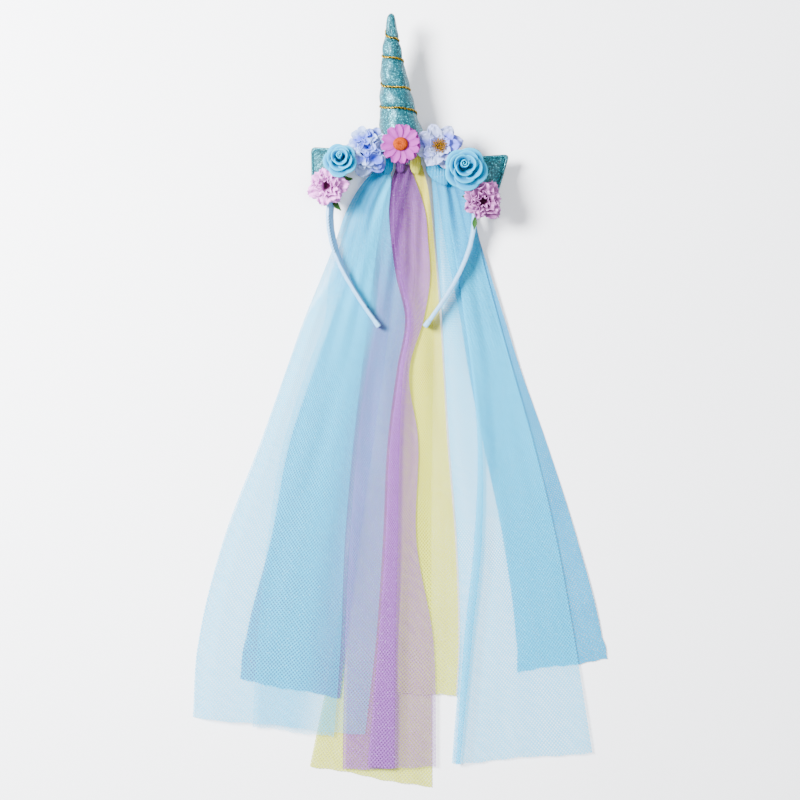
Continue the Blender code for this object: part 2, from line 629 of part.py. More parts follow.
def knot_foot(name):
    """How far down a knot reaches, where its tails begin."""
    return min(p.y for section in knot_sections(name) for p in section) - GAP


def drape(y):
    """Height of the lowest tail over the surface at y."""
    return VEIL_LIFT * float(np.interp((VEIL_TOP - y) / VEIL_LENGTH, ROWS, DRAPE))


def flat_section(left, right, level, edge_level):
    """A flat tail's section as x and height, along its underside and back along its top."""
    xs = [left + (right - left) * u / 6 for u in range(7)]
    under = [(x, LAYER * (edge_level if x == left else level)) for x in xs]
    return under + [(x, z + CLOTH) for x, z in under[::-1]]


def pleated_section(left, right, level, edge_level, a, b):
    """The same with a Z-fold between a and b, which stands two layers over the tail."""
    down = min(b + FOLD_RUN, b + 0.6 * (right - b))
    half, far = (left + a) / 2, (down + right) / 2
    z = [LAYER * (level + k) for k in range(3)]
    under = [
        (left, LAYER * edge_level), (half, z[0]), (b, z[0]), (b, z[1] + CLOTH),
        (a + FOLD_WALL, z[1] + CLOTH), (a + FOLD_WALL, z[2]), (b, z[2]),
        (down, z[0]), (far, z[0]), (right, z[0]),
    ]
    over = [
        (right, z[0] + CLOTH), (far, z[0] + CLOTH), (down, z[0] + CLOTH),
        (b, z[2] + CLOTH), (a, z[2] + CLOTH), (a, z[1]), (b - FOLD_WALL, z[1]),
        (b - FOLD_WALL, z[0] + CLOTH), (half, z[0] + CLOTH), (left, LAYER * edge_level + CLOTH),
    ]
    return under + over


def make_tail(name, parent, finish):
    knot, level, edge_down, hem, lefts, rights = TAILS[name]
    pleat = PLEATS.get(name)
    foot = knot_foot(knot)
    loops = []
    for row in range(len(ROWS) + 1):
        left, right = lefts[row] * VEIL_HALF_WIDTH, rights[row] * VEIL_HALF_WIDTH
        edge_level = 0 if edge_down and row >= FIRST_FREE_ROW else level
        if pleat:
            folds = [edge[row] * VEIL_HALF_WIDTH for edge in pleat]
            section = pleated_section(left, right, level, edge_level, *folds)
        else:
            section = flat_section(left, right, level, edge_level)
        loop = []
        for x, height in section:
            share = (x - left) / (right - left)
            down = ROWS[row] if row < len(ROWS) else hem[0] + (hem[1] - hem[0]) * share
            y = min(VEIL_TOP - VEIL_LENGTH * down, foot - row * FIRST_ROWS)
            loop.append(Vector((x, y, drape(y) + height)))
        loops.append(loop)
    placed(name, mesh_of(name, loops, thin=True), finish, parent)


def stand_on_surface(headband):
    """Moves the whole so that its origin is on the surface, under its middle."""
    bpy.context.view_layer.update()
    graph = bpy.context.evaluated_depsgraph_get()
    points = []
    for made in headband.children_recursive:
        solid = made.evaluated_get(graph)
        points += [made.matrix_world @ v.co for v in solid.to_mesh().vertices]
        solid.to_mesh_clear()
    low, high = np.min(points, axis=0), np.max(points, axis=0)
    headband.location = (-(low[0] + high[0]) / 2, -(low[1] + high[1]) / 2, -low[2])


def main():
    for old in list(bpy.data.objects):
        bpy.data.objects.remove(old)
    headband = bpy.data.objects.new("headband", None)
    bpy.context.scene.collection.objects.link(headband)
    lame = material("horn_lame", (0.10, 0.42, 0.48), 0.35, 0.5)
    mauve = material("carnation_mauve", (0.80, 0.52, 0.78), 0.7)
    foam = material("rose_foam", (0.18, 0.66, 0.92), 0.75)
    green = material("leaf_green", (0.12, 0.33, 0.08), 0.6)
    tulle = {
        "blue": material("tulle_blue", (0.30, 0.78, 0.93), 0.6),
        "violet": material("tulle_violet", (0.58, 0.33, 0.75), 0.6),
        "yellow": material("tulle_yellow", (0.88, 0.88, 0.42), 0.6),
    }
    make_band(headband, material("band_ribbon", (0.62, 0.78, 0.93), 0.35))
    make_horn(headband, lame, material("gold_cord", (0.80, 0.55, 0.15), 0.3, 1.0))
    for name in EARS:
        make_ear(name, headband, lame)
    orange = material("daisy_orange", (0.90, 0.30, 0.02), 0.8)
    make_daisy(headband, material("daisy_pink", (0.80, 0.40, 0.72), 0.7), orange)
    for name in CARNATIONS:
        make_carnation(name, headband, mauve)
    for name in ROSES:
        make_rose(name, headband, foam)
    make_hydrangea(headband, material("hydrangea_lavender", (0.60, 0.64, 0.90), 0.7))
    gold = material("stamen_gold", (0.62, 0.40, 0.05), 0.5)
    make_anemone(headband, material("anemone_white", (0.78, 0.80, 0.93), 0.7), gold)
    for name in LEAVES:
        make_leaf(name, headband, green)
    for name in KNOTS:
        mesh = mesh_of(name, knot_sections(name), ring=True)
        placed(name, mesh, tulle[name.split("_")[1]], headband)
    for name in TAILS:
        make_tail(name, headband, tulle[name.split("_")[1]])
    stand_on_surface(headband)


main()
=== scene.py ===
"""Unicorn costume headband, laid flat: a stuffed horn wound with cord, padded ears, a garland of
cloth and foam flowers, and a veil of tulle tails knotted round a ribbon-covered band."""

import math

import bmesh
import bpy
import numpy as np
from mathutils import Matrix, Vector


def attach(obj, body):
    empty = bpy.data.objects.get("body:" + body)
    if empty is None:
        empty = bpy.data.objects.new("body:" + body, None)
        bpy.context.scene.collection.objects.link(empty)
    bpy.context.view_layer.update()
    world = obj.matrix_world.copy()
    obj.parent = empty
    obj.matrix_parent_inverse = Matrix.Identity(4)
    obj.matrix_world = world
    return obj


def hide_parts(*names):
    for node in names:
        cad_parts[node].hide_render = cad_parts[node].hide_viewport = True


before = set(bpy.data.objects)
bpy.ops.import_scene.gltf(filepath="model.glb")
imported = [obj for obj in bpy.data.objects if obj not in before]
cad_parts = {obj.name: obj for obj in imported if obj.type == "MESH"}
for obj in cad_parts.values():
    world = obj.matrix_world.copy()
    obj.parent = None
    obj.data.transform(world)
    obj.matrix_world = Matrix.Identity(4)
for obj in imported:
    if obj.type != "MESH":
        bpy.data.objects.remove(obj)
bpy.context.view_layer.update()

bl_info = {
    "name": "Unicorn Headband",
    "version": (1, 0, 0),
    "blender": (4, 5, 0),
    "location": "3D View > Sidebar > Headband",
    "description": "Makes the horn, ears, flowers, knots and tulle veil of a costume headband",
    "category": "Add Mesh",
}

MM = 0.001
BODY = "root"

# Band, measured in its own plane to the middle of the strip, as in the frame
CENTRE = np.array([1.615, 153.571, 0.0]) * MM  # the crown arc's centre in the frame
BAND_RADIUS = 58.6 * MM
BAND_DROP = 90.5 * MM
BAND_END_SPREAD = 18.4 * MM
BAND_UPPER_HANDLE = 30.0 * MM
BAND_LOWER_HANDLE = 42.0 * MM
BAND_END_ANGLE = math.radians(53.0)
BAND_WIDTH = 9.0 * MM
BAND_END_WIDTH = 6.4 * MM
BAND_THICKNESS = 3.3 * MM
BAND_CORNER = 0.42  # the smaller, the squarer the strip's section
BAND_LEAN = 7.0  # degrees that the limbs lean outwards
BAND_TWIST = 24.0  # more degrees on the left limb, which is twisted open
BAND_END_LIFT = 6.05 * MM
CROWN_HEIGHT = 17.767 * MM
BAND_SLOPE = (CROWN_HEIGHT - BAND_END_LIFT - BAND_END_WIDTH / 2) / (BAND_RADIUS + BAND_DROP)
ARC_LENGTH = BAND_RADIUS * math.pi / 2
RIBBON_ROWS = 800
SECTION_POINTS = 33
CAP_LENGTH = 6.5 * MM
CAP_WALL = 0.35 * MM
STITCHES = 13
STITCH_START = 1.0 * MM  # from the end of the crown's arc
STITCH_STEP = 2.4 * MM
STITCH_REACH = 0.9 * MM  # half a stitch, along the band
STITCH_RADIUS = 0.32 * MM
STITCH_OUT = 0.25 * MM  # how far its middle stands over the strip's side, and over its front
STITCH_UP = 0.2 * MM
NUB_PLACE = 19.0 * MM  # the small knot of ribbon, from the left limb's end
NUB_REACH = 0.6 * MM  # half its length
NUB_RADIUS = 1.1 * MM
SEAM_SIDE = np.array([1.0, 0.0, 0.2])  # where a stitch's and the nub's own seam points

# Horn
HORN_SEAT = (1.615 * MM, 217.243 * MM, CROWN_HEIGHT)
HORN_LENGTH = 98.5 * MM
HORN_RADIUS = 17.9 * MM
HORN_TIP_SHARE = 0.13
HORN_TAPER = 0.85  # the power by which the cone widens from its tip
HORN_TIP_ROUND = 0.03  # the share of its length in which the tip is rounded
HORN_DENT = 0.4 * MM
HORN_THIN = 8.0 * MM  # where the cone is thinner than this, its gathers are shallower
HORN_ROWS = 260
HORN_COLUMNS = 121
HORN_RISE = 7.0  # degrees up from the surface
HORN_LEAN = 5.2  # degrees to the left
HORN_BEND = 2.4 * MM
CORD_CROSSINGS = (0.2, 0.36, 0.6, 0.768)
CORD_BEYOND = (-0.1, 1.12)  # where the turns before and after would pass, off the horn
CORD_PLACES = (CORD_BEYOND[0], *CORD_CROSSINGS, CORD_BEYOND[1])
CORD_TURNS = np.arange(-1.0, len(CORD_CROSSINGS) + 1)
CORD_LEVEL = 0.55  # how much flatter than an even winding the cord crosses the front
CORD_ENDS = (-0.5, len(CORD_CROSSINGS) - 0.55)  # in turns from the first crossing
CORD_SINK = 0.8  # its middle's distance from the groove, as a share of its radius
STRAND_RADIUS = 0.58  # a strand's radius and distance from the cord's middle, as such shares
STRAND_OUT = 0.46
STRAND_ROUNDING = 1.2 * MM

# Ears: side, degrees from the crown to the top edge's root, the tip and the lower corner,
# how far the tip stands from the band, and degrees that the ear droops to the surface
EAR_BASE = BAND_RADIUS + BAND_THICKNESS / 2 + 0.9 * MM
EAR_CORNER_REACH = 15.0 * MM
EAR_ROUNDING = 5.0 * MM
EAR_EDGE = 0.45 * MM  # half its thickness between pillow and welt
EAR_WELT = 1.0 * MM
EAR_CREASE = 0.18 * MM
EAR_PILLOW = 0.86  # where the pillow ends, as a share from the middle to the edge
EAR_WELT_MIDDLE = 0.93
EAR_WELT_HALF = 0.07
EARS = {
    "ear_left": (-1, 31.0, 53.0, 77.0, 36.0 * MM, 26.0),
    "ear_right": (1, 41.0, 60.5, 83.0, 39.5 * MM, 3.0),
}

# Flowers: seat in the frame, and degrees of tilt to the right and towards the horn
SEATS = {
    "daisy": ((1.2, 208.2, 24.3), (-3.0, 0.0)),
    "anemone": ((31.1, 207.4, 24.2), (5.0, 2.0)),
    "hydrangea": ((-24.5, 206.1, 22.8), (-6.0, -2.0)),
    "rose_left": ((-47.0, 194.1, 22.0), (-4.0, 4.0)),
    "rose_right": ((51.8, 187.8, 21.7), (4.0, 2.0)),
    "carnation_left": ((-57.5, 176.7, 21.7), (-9.0, -8.0)),
    "carnation_right": ((65.8, 164.6, 20.9), (9.0, -8.0)),
}
# Leaves: seat in the frame, length, width and heading in degrees
LEAVES = {
    "leaf_left_upper": ((-50.5, 181.0, 24.5), 12.5, 7.5, 4.0),
    "leaf_left_lower": ((-53.0, 162.6, 20.4), 8.0, 4.5, -48.0),
    "leaf_right_upper": ((59.0, 167.6, 21.3), 9.0, 6.0, 176.0),
    "leaf_right_lower": ((60.6, 149.2, 20.1), 8.0, 4.0, -95.0),
}
# Roses: radius, height, turn and how far the bud stands aside
ROSES = {
    "rose_left": (12.6, 24.0, 0.6, (0.5, 4.0)),
    "rose_right": (16.8, 25.0, 2.2, (-2.6, 4.4)),
}
# A rose's rings: foot and size as shares of its radius, floor and rim as shares of its height,
# petals, and how far their lips curl outwards
ROSE_RINGS = (
    (0.40, 0.93, 0.47, 0.70, 5, 1.7),
    (0.30, 0.70, 0.50, 0.86, 4, 1.2),
    (0.20, 0.46, 0.56, 0.96, 3, 0.8),
)
# Whorls: petals, first heading, radius, height, tilt in degrees, length and width
ANEMONE_WHORLS = (
    (8, 0.3, 2.2, 3.0, 8, 17.2, 13.0),
    (7, 0.0, 2.0, 4.6, 18, 14.2, 11.0),
    (6, 0.5, 1.6, 5.6, 34, 9.2, 8.0),
)
CARNATION_WHORLS = (
    (7, 0.0, 1.6, 6.4, 4, 14.6, 13.0),
    (6, 0.35, 1.6, 7.4, 26, 12.6, 12.0),
    (5, 0.7, 1.6, 8.0, 48, 9.6, 11.0),
    (3, 1.05, 1.6, 7.6, 70, 7.4, 9.0),
)
ROSE_FOOT = 4.0  # the radius of its neck on the band
ROSE_BUD_WAVE = 0.5 * MM
PETAL_WALL = 0.35 * MM
FOAM_WALL = 0.75 * MM
LEAF_WALL = 0.3 * MM
DISC_RADIUS = 6.1 * MM
DISC_RISE = 3.1 * MM
DISC_BUMP = 0.22 * MM
DISC_HEIGHT = 15.3 * MM
DISC_DEPTH = 0.6 * MM
STAMENS = 46
TUFT_RADIUS = 6.8 * MM
TUFT_HEIGHT = 6.2 * MM

# Veil, as in the frame
VEIL_TOP = BAND_RADIUS - 17.4 * MM
VEIL_LENGTH = 509.5 * MM
VEIL_HALF_WIDTH = 170.0 * MM
VEIL_LIFT = 9.0 * MM
LAYER = 1.35 * MM
UNDERSIDE = 0.3 * MM  # between the lowest tail's folds and the surface
GATHERS = 26
TAIL_COLUMNS = 7 * GATHERS + 1
TAIL_ROWS = 131
TONES = ("blue", "violet", "yellow")
PAINTED_SPARKLE = (0.72, 0.86, 0.92)  # painted highlight: the linear colour painted on threads that are shown catching the light
KNOT_PUFF = 24.0 * MM
KNOT_GAP = 0.3 * MM  # between the strip and the thinnest place of a knot
KNOT_SKIN = 0.5 * MM
KNOT_FOLD = 0.85 * MM
KNOT_CREASE = 0.2 * MM
# Knots: degrees from the crown, length along the band and number of folds round it
KNOTS = {
    "knot_blue_left": (-11.8, 9.6 * MM, 3),
    "knot_violet": (-1.2, 8.8 * MM, 3),
    "knot_yellow": (11.2, 9.6 * MM, 2),
    "knot_blue_right": (31.0, 22.0 * MM, 4),
}
# Round a knot, from its outer face over the front to the inner side and back below: half
# thicknesses, half widths, walls over the front or back, how far it hangs and its length
KNOT_ROUND = (
    (1, 0.0, 0, 0.0, 0.75), (1, 1.0, 1, 0.0, 0.75), (0, 1.0, 1, 0.0, 0.78),
    (-1, 1.0, 1, 0.22, 0.85), (-1, 0.55, 1, 0.70, 0.97), (-1, 0.0, 0, 1.0, 1.0),
    (-1, -0.55, -1, 0.96, 1.0), (-1, -1.0, -1, 0.45, 0.85),
    (0, -1.0, -1, 0.0, 0.78), (1, -1.0, -1, 0.0, 0.75),
)
# Rows: places down the veil as shares of its length, and how much of its lift is left at each
ROWS = (0.0, 0.032, 0.073, 0.121, 0.178, 0.243, 0.324, 0.437, 0.599, 0.760, 0.93)
DRAPE = (1.0, 0.84, 0.62, 0.38, 0.16, 0.05, 0.0, 0.0, 0.0, 0.0, 0.0)
FREE_ROW = 0.178  # from here on an edge with nothing under it comes down
FREE_FALL = 0.065  # the share of the veil's length over which it does
FREE_EDGE = 0.12  # the share of a tail's width that comes down
# Tails: knot, level in the pile, whether the left edge comes down to the surface, the hem's
# share of the veil's length at its left and right, then the left and right edges at each row
# and at the hem, as shares of the veil's half width from the middle
TAILS = {
    "tulle_blue_left_upper": ("knot_blue_left", 3, True, (0.885, 0.913),
        (-.106, -.193, -.265, -.318, -.386, -.468, -.555, -.675, -.859, -.979, -1.008),
        (-.053, -.053, -.063, -.053, -.029, .014, -.024, -.068, -.092, -.125, -.178)),
    "tulle_blue_left_lower": ("knot_blue_left", 2, False, (0.900, 0.917),
        (-.106, -.174, -.236, -.289, -.347, -.370, -.455, -.564, -.646, -.695, -.719),
        (-.053, -.068, -.092, -.116, -.140, -.164, -.193, -.232, -.275, -.294, -.328)),
    "tulle_violet_left": ("knot_violet", 1, True, (0.825, 0.854),
        (-.024, -.058, -.106, -.174, -.256, -.333, -.420, -.535, -.632, -.752, -.781),
        (.019, .014, .005, -.014, -.034, -.058, -.087, -.135, -.203, -.265, -.299)),
    "tulle_violet_right": ("knot_violet", 2, False, (0.968, 0.964),
        (-.024, -.053, -.077, -.101, -.111, -.130, -.169, -.212, -.251, -.275, -.285),
        (.034, .072, .111, .125, .135, .106, .036, .077, .068, .150, .164)),
    "tulle_yellow_left": ("knot_yellow", 0, False, (0.964, 1.0),
        (.053, .034, .005, -.034, -.068, -.101, -.135, -.183, -.251, -.323, -.444),
        (.092, .106, .121, .135, .145, .150, .150, .145, .140, .140, .145)),
    "tulle_yellow_right": ("knot_yellow", 1, False, (0.847, 0.850),
        (.053, .043, .034, .029, .029, .029, .029, .024, .010, -.019, -.034),
        (.096, .121, .140, .154, .169, .183, .198, .217, .256, .272, .260)),
    "tulle_blue_right_upper": ("knot_blue_right", 1, True, (0.961, 0.942),
        (.135, .145, .154, .164, .179, .193, .207, .227, .265, .280, .241),
        (.217, .285, .328, .367, .410, .463, .531, .627, .743, .830, .916)),
    "tulle_blue_right_lower": ("knot_blue_right", 0, False, (0.812, 0.793),
        (.145, .164, .183, .207, .241, .280, .318, .386, .487, .550, .555),
        (.217, .294, .338, .376, .429, .492, .569, .690, .844, .965, .989)),
}
# A Z-fold that runs down a tail: the step in height between its three layers, and its two
# folded edges at each row and at the hem
PLEATS = {
    "tulle_violet_right": (LAYER,
        (-.012, -.036, -.046, -.040, -.018, .024, -.012, -.056, -.080, -.114, -.166),
        (.008, -.014, -.022, -.016, .004, .046, .010, -.010, -.019, -.029, -.034)),
    "tulle_blue_right_upper": (LAYER,
        (.164, .188, .212, .241, .270, .299, .333, .362, .347, .298, .258),
        (.181, .205, .230, .258, .287, .316, .352, .386, .386, .338, .281)),
}
PLEAT_BEND = 2.0 * MM  # the width over which a Z-fold steps from one layer to the next
PLEAT_REACH = 12.0 * MM  # how far past the fold its top layer takes to come down
# The layers of net in a tail's one surface: more than one where it lies folded lengthwise, and
# less where the net is stretched thin
PLIES = {
    "tulle_blue_left_upper": 1.0, "tulle_blue_left_lower": 0.55,
    "tulle_blue_right_upper": 1.0, "tulle_blue_right_lower": 3.2,
    "tulle_violet_left": 3.0, "tulle_violet_right": 1.5,
    "tulle_yellow_left": 2.1, "tulle_yellow_right": 2.1,
}
# Tails that lie thinner towards their right edge, as the share that is left there
THINNER = {"tulle_blue_left_upper": 0.3, "tulle_violet_right": 0.6}
MOST_GATHERED = 12.0  # flat width over gathered width at a knot
MOST_COVER = 0.97
EDGE_SHARE = 0.006  # the width of a tail's denser edge, as a share of its width

# Stage: each light's place, width and share of the key light's power
LIGHTS = {"key": ((-1.0, 0.45, 1.1), 0.6, 1.0), "fill": ((0.4, 0.1, 1.9), 1.2, 0.2)}
SKY = (0.93, 0.95, 1.0, 1.0)  # the linear colour of the light from all sides
SKY_STRENGTH = 0.54
FLOOR_HALF = 3.0
FLOOR_DROP = 0.2 * MM  # under the headband's lowest point
SENSOR_WIDTH = 36.0  # millimetres, of the camera


def srgb(red, green, blue):
    """A colour of 0 to 255 as the linear values that shaders take."""
    share = np.array([red, green, blue]) / 255.0
    linear = np.where(share > 0.04045, ((share + 0.055) / 1.055) ** 2.4, share / 12.92)
    return tuple(float(x) for x in linear)


def colour(name, description, *value):
    return bpy.props.FloatVectorProperty(
        name=name, description=description, default=srgb(*value), size=3, min=0.0, max=1.0, subtype="COLOR")


def number(name, description, value, **limits):
    return bpy.props.FloatProperty(name=name, description=description, default=value, min=0.0, **limits)


def length(name, description, value):
    return number(name, description, value, unit="LENGTH", precision=5)


class BandSettings(bpy.types.PropertyGroup):
    ribbon: colour("Ribbon", "Colour of the satin ribbon wound round the band", 118, 172, 214)
    wrap: length("Wrap", "Distance along the band between two turns of ribbon", 11.0 * MM)
    ridge: length("Ridge", "How far a turn's edge stands over the turn before it", 0.16 * MM)


class HornSettings(bpy.types.PropertyGroup):
    cloth: colour("Cloth", "Colour of the glitter cloth", 0, 74, 86)
    # The colour of the painted highlight that a few flakes carry as painted sparkle
    painted_glint: colour("Glint", "Colour of its brightest flakes", 66, 172, 186)
    flake: length("Flake", "Width of one glitter flake", 0.62 * MM)
    puff: length("Puff", "How far the stuffing bulges between two turns of cord", 2.5 * MM)
    pucker: length("Pucker", "Depth of the gathers beside the cord", 0.34 * MM)
    cord: colour("Cord", "Colour of the metallic cord", 176, 144, 36)
    cord_radius: length("Cord radius", "Radius of the twisted cord", 0.95 * MM)
    cord_twist: length("Cord twist", "Distance along the cord for one full twist", 5.6 * MM)
    ear_puff: length("Ear puff", "Half the thickness of an ear in its middle", 2.6 * MM)


class FlowerSettings(bpy.types.PropertyGroup):
    daisy: colour("Daisy", "Colour of the daisy's petals", 148, 50, 146)
    daisy_heart: colour("Daisy heart", "Colour of the daisy's disc", 158, 62, 0)
    rose: colour("Rose", "Colour of the foam roses", 0, 134, 184)
    rose_rim: colour("Rose rim", "Colour of the roses' cut rims", 10, 176, 214)
    carnation_rim: colour("Carnation rim", "Colour at a carnation petal's rim", 200, 126, 198)
    carnation_base: colour("Carnation base", "Colour at a carnation petal's base", 56, 6, 44)
    hydrangea_rim: colour("Hydrangea rim", "Colour at a hydrangea petal's rim", 156, 180, 224)
    hydrangea_base: colour("Hydrangea base", "Colour at a hydrangea petal's base", 18, 34, 140)
    anemone_rim: colour("Anemone rim", "Colour at an anemone petal's rim", 166, 178, 218)
    anemone_base: colour("Anemone base", "Colour at an anemone petal's base", 52, 56, 150)
    stamen: colour("Stamen", "Colour of the anemone's stamens", 158, 112, 10)
    leaf: colour("Leaf", "Colour of the leaves", 44, 84, 34)


class VeilSettings(bpy.types.PropertyGroup):
    blue: colour("Blue", "Colour of the blue tulle where one layer lies flat", 0, 186, 232)
    blue_deep: colour("Deep blue", "Colour of the blue tulle where it lies crowded", 0, 116, 164)
    violet: colour("Violet", "Colour of the violet tulle where one layer lies flat", 136, 80, 162)
    violet_deep: colour("Deep violet", "Colour of the violet tulle where it lies crowded", 72, 26, 88)
    yellow: colour("Yellow", "Colour of the yellow tulle where one layer lies flat", 198, 214, 88)
    yellow_deep: colour("Deep yellow", "Colour of the yellow tulle where it lies crowded", 172, 160, 48)
    cover: number("Cover", "How much one flat layer of tulle hides what lies behind it", 0.48, max=1.0)
    net: length("Net", "Width of one hole of the net", 2.9 * MM)
    gather: length("Gather", "Height of a tail's fine gathers on either side of its middle", 0.08 * MM)
    fold: length("Fold", "Height of the folds that the tails share near the knots", 1.6 * MM)
    ripple: length("Ripple", "Height of the same folds near the hems", 1.0 * MM)


class StageSettings(bpy.types.PropertyGroup):
    floor: colour("Floor", "Colour of the surface that the headband lies on", 250, 251, 255)
    camera_height: length("Camera height", "Height of the camera over the surface", 1.549)
    camera_shift: length("Camera shift", "How far the camera stands from the middle to the horn", 3.5 * MM)
    lens: number("Lens", "Focal length of the camera in millimetres", 85.0)
    key: number("Key light", "Power of the soft light from the left in watts", 150.0)


# Arrays

def smooth(x):
    """0 below 0, 1 above 1, and 3x2 - 2x3 between."""
    x = np.clip(x, 0.0, 1.0)
    return x * x * (3.0 - 2.0 * x)


def rounding(share):
    """A quarter circle's rise, from 0 at 0 to 1 at 1, held at both ends."""
    return np.sqrt(1 - (1 - np.clip(share, 0.0, 1.0)) ** 2)


def bead(share):
    """A half circle's height, 1 at 0 and 0 from -1 and 1 outwards."""
    return np.sqrt(np.clip(1 - share**2, 0.0, 1.0))


def wave(times, at, phase=0.0):
    """A sine that turns so many times as the place goes from 0 to 1."""
    return np.sin(2 * np.pi * times * at + phase)


def steps_down(start, end, count):
    """Even steps as the column of a grid."""
    return np.linspace(start, end, count)[:, None]


def steps_across(start, end, count):
    """Even steps as the row of a grid."""
    return np.linspace(start, end, count)[None, :]


def full_turn(count):
    """The angles of a full turn as the row of a grid."""
    return steps_across(0, 2 * np.pi, count)


def points_of(*axes):
    """Points from their X, Y and Z, each an array or a number."""
    return np.stack(np.broadcast_arrays(*axes), axis=-1)


def turned_points(radius, angle, height):
    """Points by their distance from the Z axis, angle and height."""
    return points_of(radius * np.cos(angle), radius * np.sin(angle), height)


def distances(line):
    """How far along a line each of its points lies."""
    return np.concatenate([[0.0], np.cumsum(np.linalg.norm(np.diff(line, axis=0), axis=1))])


def spline(at, places, values):
    """A cubic through the values, whose slope at each is the mean slope beside it."""
    places, values = np.asarray(places, float), np.asarray(values, float)
    slopes = np.gradient(values, places)
    i = np.clip(np.searchsorted(places, at, side="right") - 1, 0, len(places) - 2)
    span = places[i + 1] - places[i]
    t = (at - places[i]) / span
    start = (1 + 2 * t) * (1 - t) ** 2 * values[i] + t * (1 - t) ** 2 * span * slopes[i]
    end = t * t * (3 - 2 * t) * values[i + 1] + t * t * (t - 1) * span * slopes[i + 1]
    return start + end


def unit(vectors):
    """Vectors of length 1 in the same directions."""
    return vectors / np.linalg.norm(vectors, axis=-1, keepdims=True)


def moved(points, place):
    """Points turned and shifted by a 4 by 4 matrix."""
    matrix = np.array(place)
    return points @ matrix[:3, :3].T + matrix[:3, 3]


def turned(degrees, axis):
    """The matrix of a turn in degrees."""
    return Matrix.Rotation(math.radians(degrees), 4, axis)


def shifted(x, y, z):
    """The matrix of a shift in millimetres."""
    return Matrix.Translation(Vector((x, y, z)) * MM)


def seat(name):
    """The matrix of a flower's seat: its place, then its tilt to the right and to the horn."""
    place, tilt = SEATS[name]
    return shifted(*place) @ turned(tilt[0], "Y") @ turned(-tilt[1], "X")


def grid(points, size=(1.0, 1.0)):
    """Quads over a grid of points, rows by columns, with a UV that runs over its two sizes."""
    rows, columns = points.shape[:2]
    first = (np.arange(rows - 1)[:, None] * columns + np.arange(columns - 1)).ravel()
    quads = np.stack([first, first + 1, first + columns + 1, first + columns], axis=1)
    across, down = np.meshgrid(np.linspace(0, size[0], columns), np.linspace(0, size[1], rows))
    flat = np.stack([across, down], axis=-1).reshape(-1, 2)
    return points.reshape(-1, 3), quads, flat[quads]


def joined(patches):
    """Several patches as one."""
    starts = np.cumsum([0] + [len(patch[0]) for patch in patches[:-1]])
    points = np.concatenate([patch[0] for patch in patches])
    quads = np.concatenate([patch[1] + start for patch, start in zip(patches, starts)])
    return points, quads, np.concatenate([patch[2] for patch in patches])


def tube(line, radii, sides, up, size=(1.0, 1.0)):
    """A round tube along a line. Each ring lies across the line's direction, at its own
    radius, and a zero radius at an end closes it."""
    along = unit(np.gradient(line, axis=0))
    out = unit(up - (up * along).sum(1, keepdims=True) * along)
    side = np.cross(along, out)
    turn = np.linspace(0, 2 * np.pi, sides + 1)[None, :, None]
    rings = out[:, None] * np.cos(turn) + side[:, None] * np.sin(turn)
    return grid(line[:, None] + rings * radii[:, None, None], size)


# Meshes

def mesh_from(name, patch, material, values=None):
    """A mesh object at the origin, from a patch's arrays and point values by name."""
    points, quads, uv = patch
    mesh = bpy.data.meshes.new(name)
    mesh.vertices.add(len(points))
    mesh.vertices.foreach_set("co", points.astype(np.float32).ravel())
    mesh.loops.add(quads.size)
    mesh.loops.foreach_set("vertex_index", quads.astype(np.int32).ravel())
    mesh.polygons.add(len(quads))
    mesh.polygons.foreach_set("loop_start", np.arange(0, quads.size, 4, dtype=np.int32))
    mesh.update(calc_edges=True)
    layer = mesh.uv_layers.new(name="UVMap")
    layer.data.foreach_set("uv", uv.astype(np.float32).ravel())
    for key, value in (values or {}).items():
        attribute = mesh.attributes.new(key, "FLOAT", "POINT")
        attribute.data.foreach_set("value", value.astype(np.float32).ravel())
    mesh.materials.append(material)
    mesh.shade_smooth()
    made = bpy.data.objects.new(name, mesh)
    bpy.context.scene.collection.objects.link(made)
    return made


def closed(made):
    """Joins the seams and poles of a closed shape and turns its faces outwards."""
    work = bmesh.new()
    work.from_mesh(made.data)
    bmesh.ops.remove_doubles(work, verts=work.verts, dist=0.002 * MM)
    bmesh.ops.dissolve_degenerate(work, edges=work.edges, dist=0.0001 * MM)
    bmesh.ops.recalc_face_normals(work, faces=work.faces)
    work.to_mesh(made.data)
    work.free()
    made.data.shade_smooth()
    return made


def thickened(made, wall):
    """Gives an open surface its wall, half to either side."""
    solid = made.modifiers.new("Wall", "SOLIDIFY")
    solid.thickness = wall
    solid.offset = 0.0
    return made


def fitted(made, slot, *nodes):
    """Puts a piece on the frame in place of its solids."""
    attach(made, BODY)
    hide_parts(*nodes)
    return made


# Materials

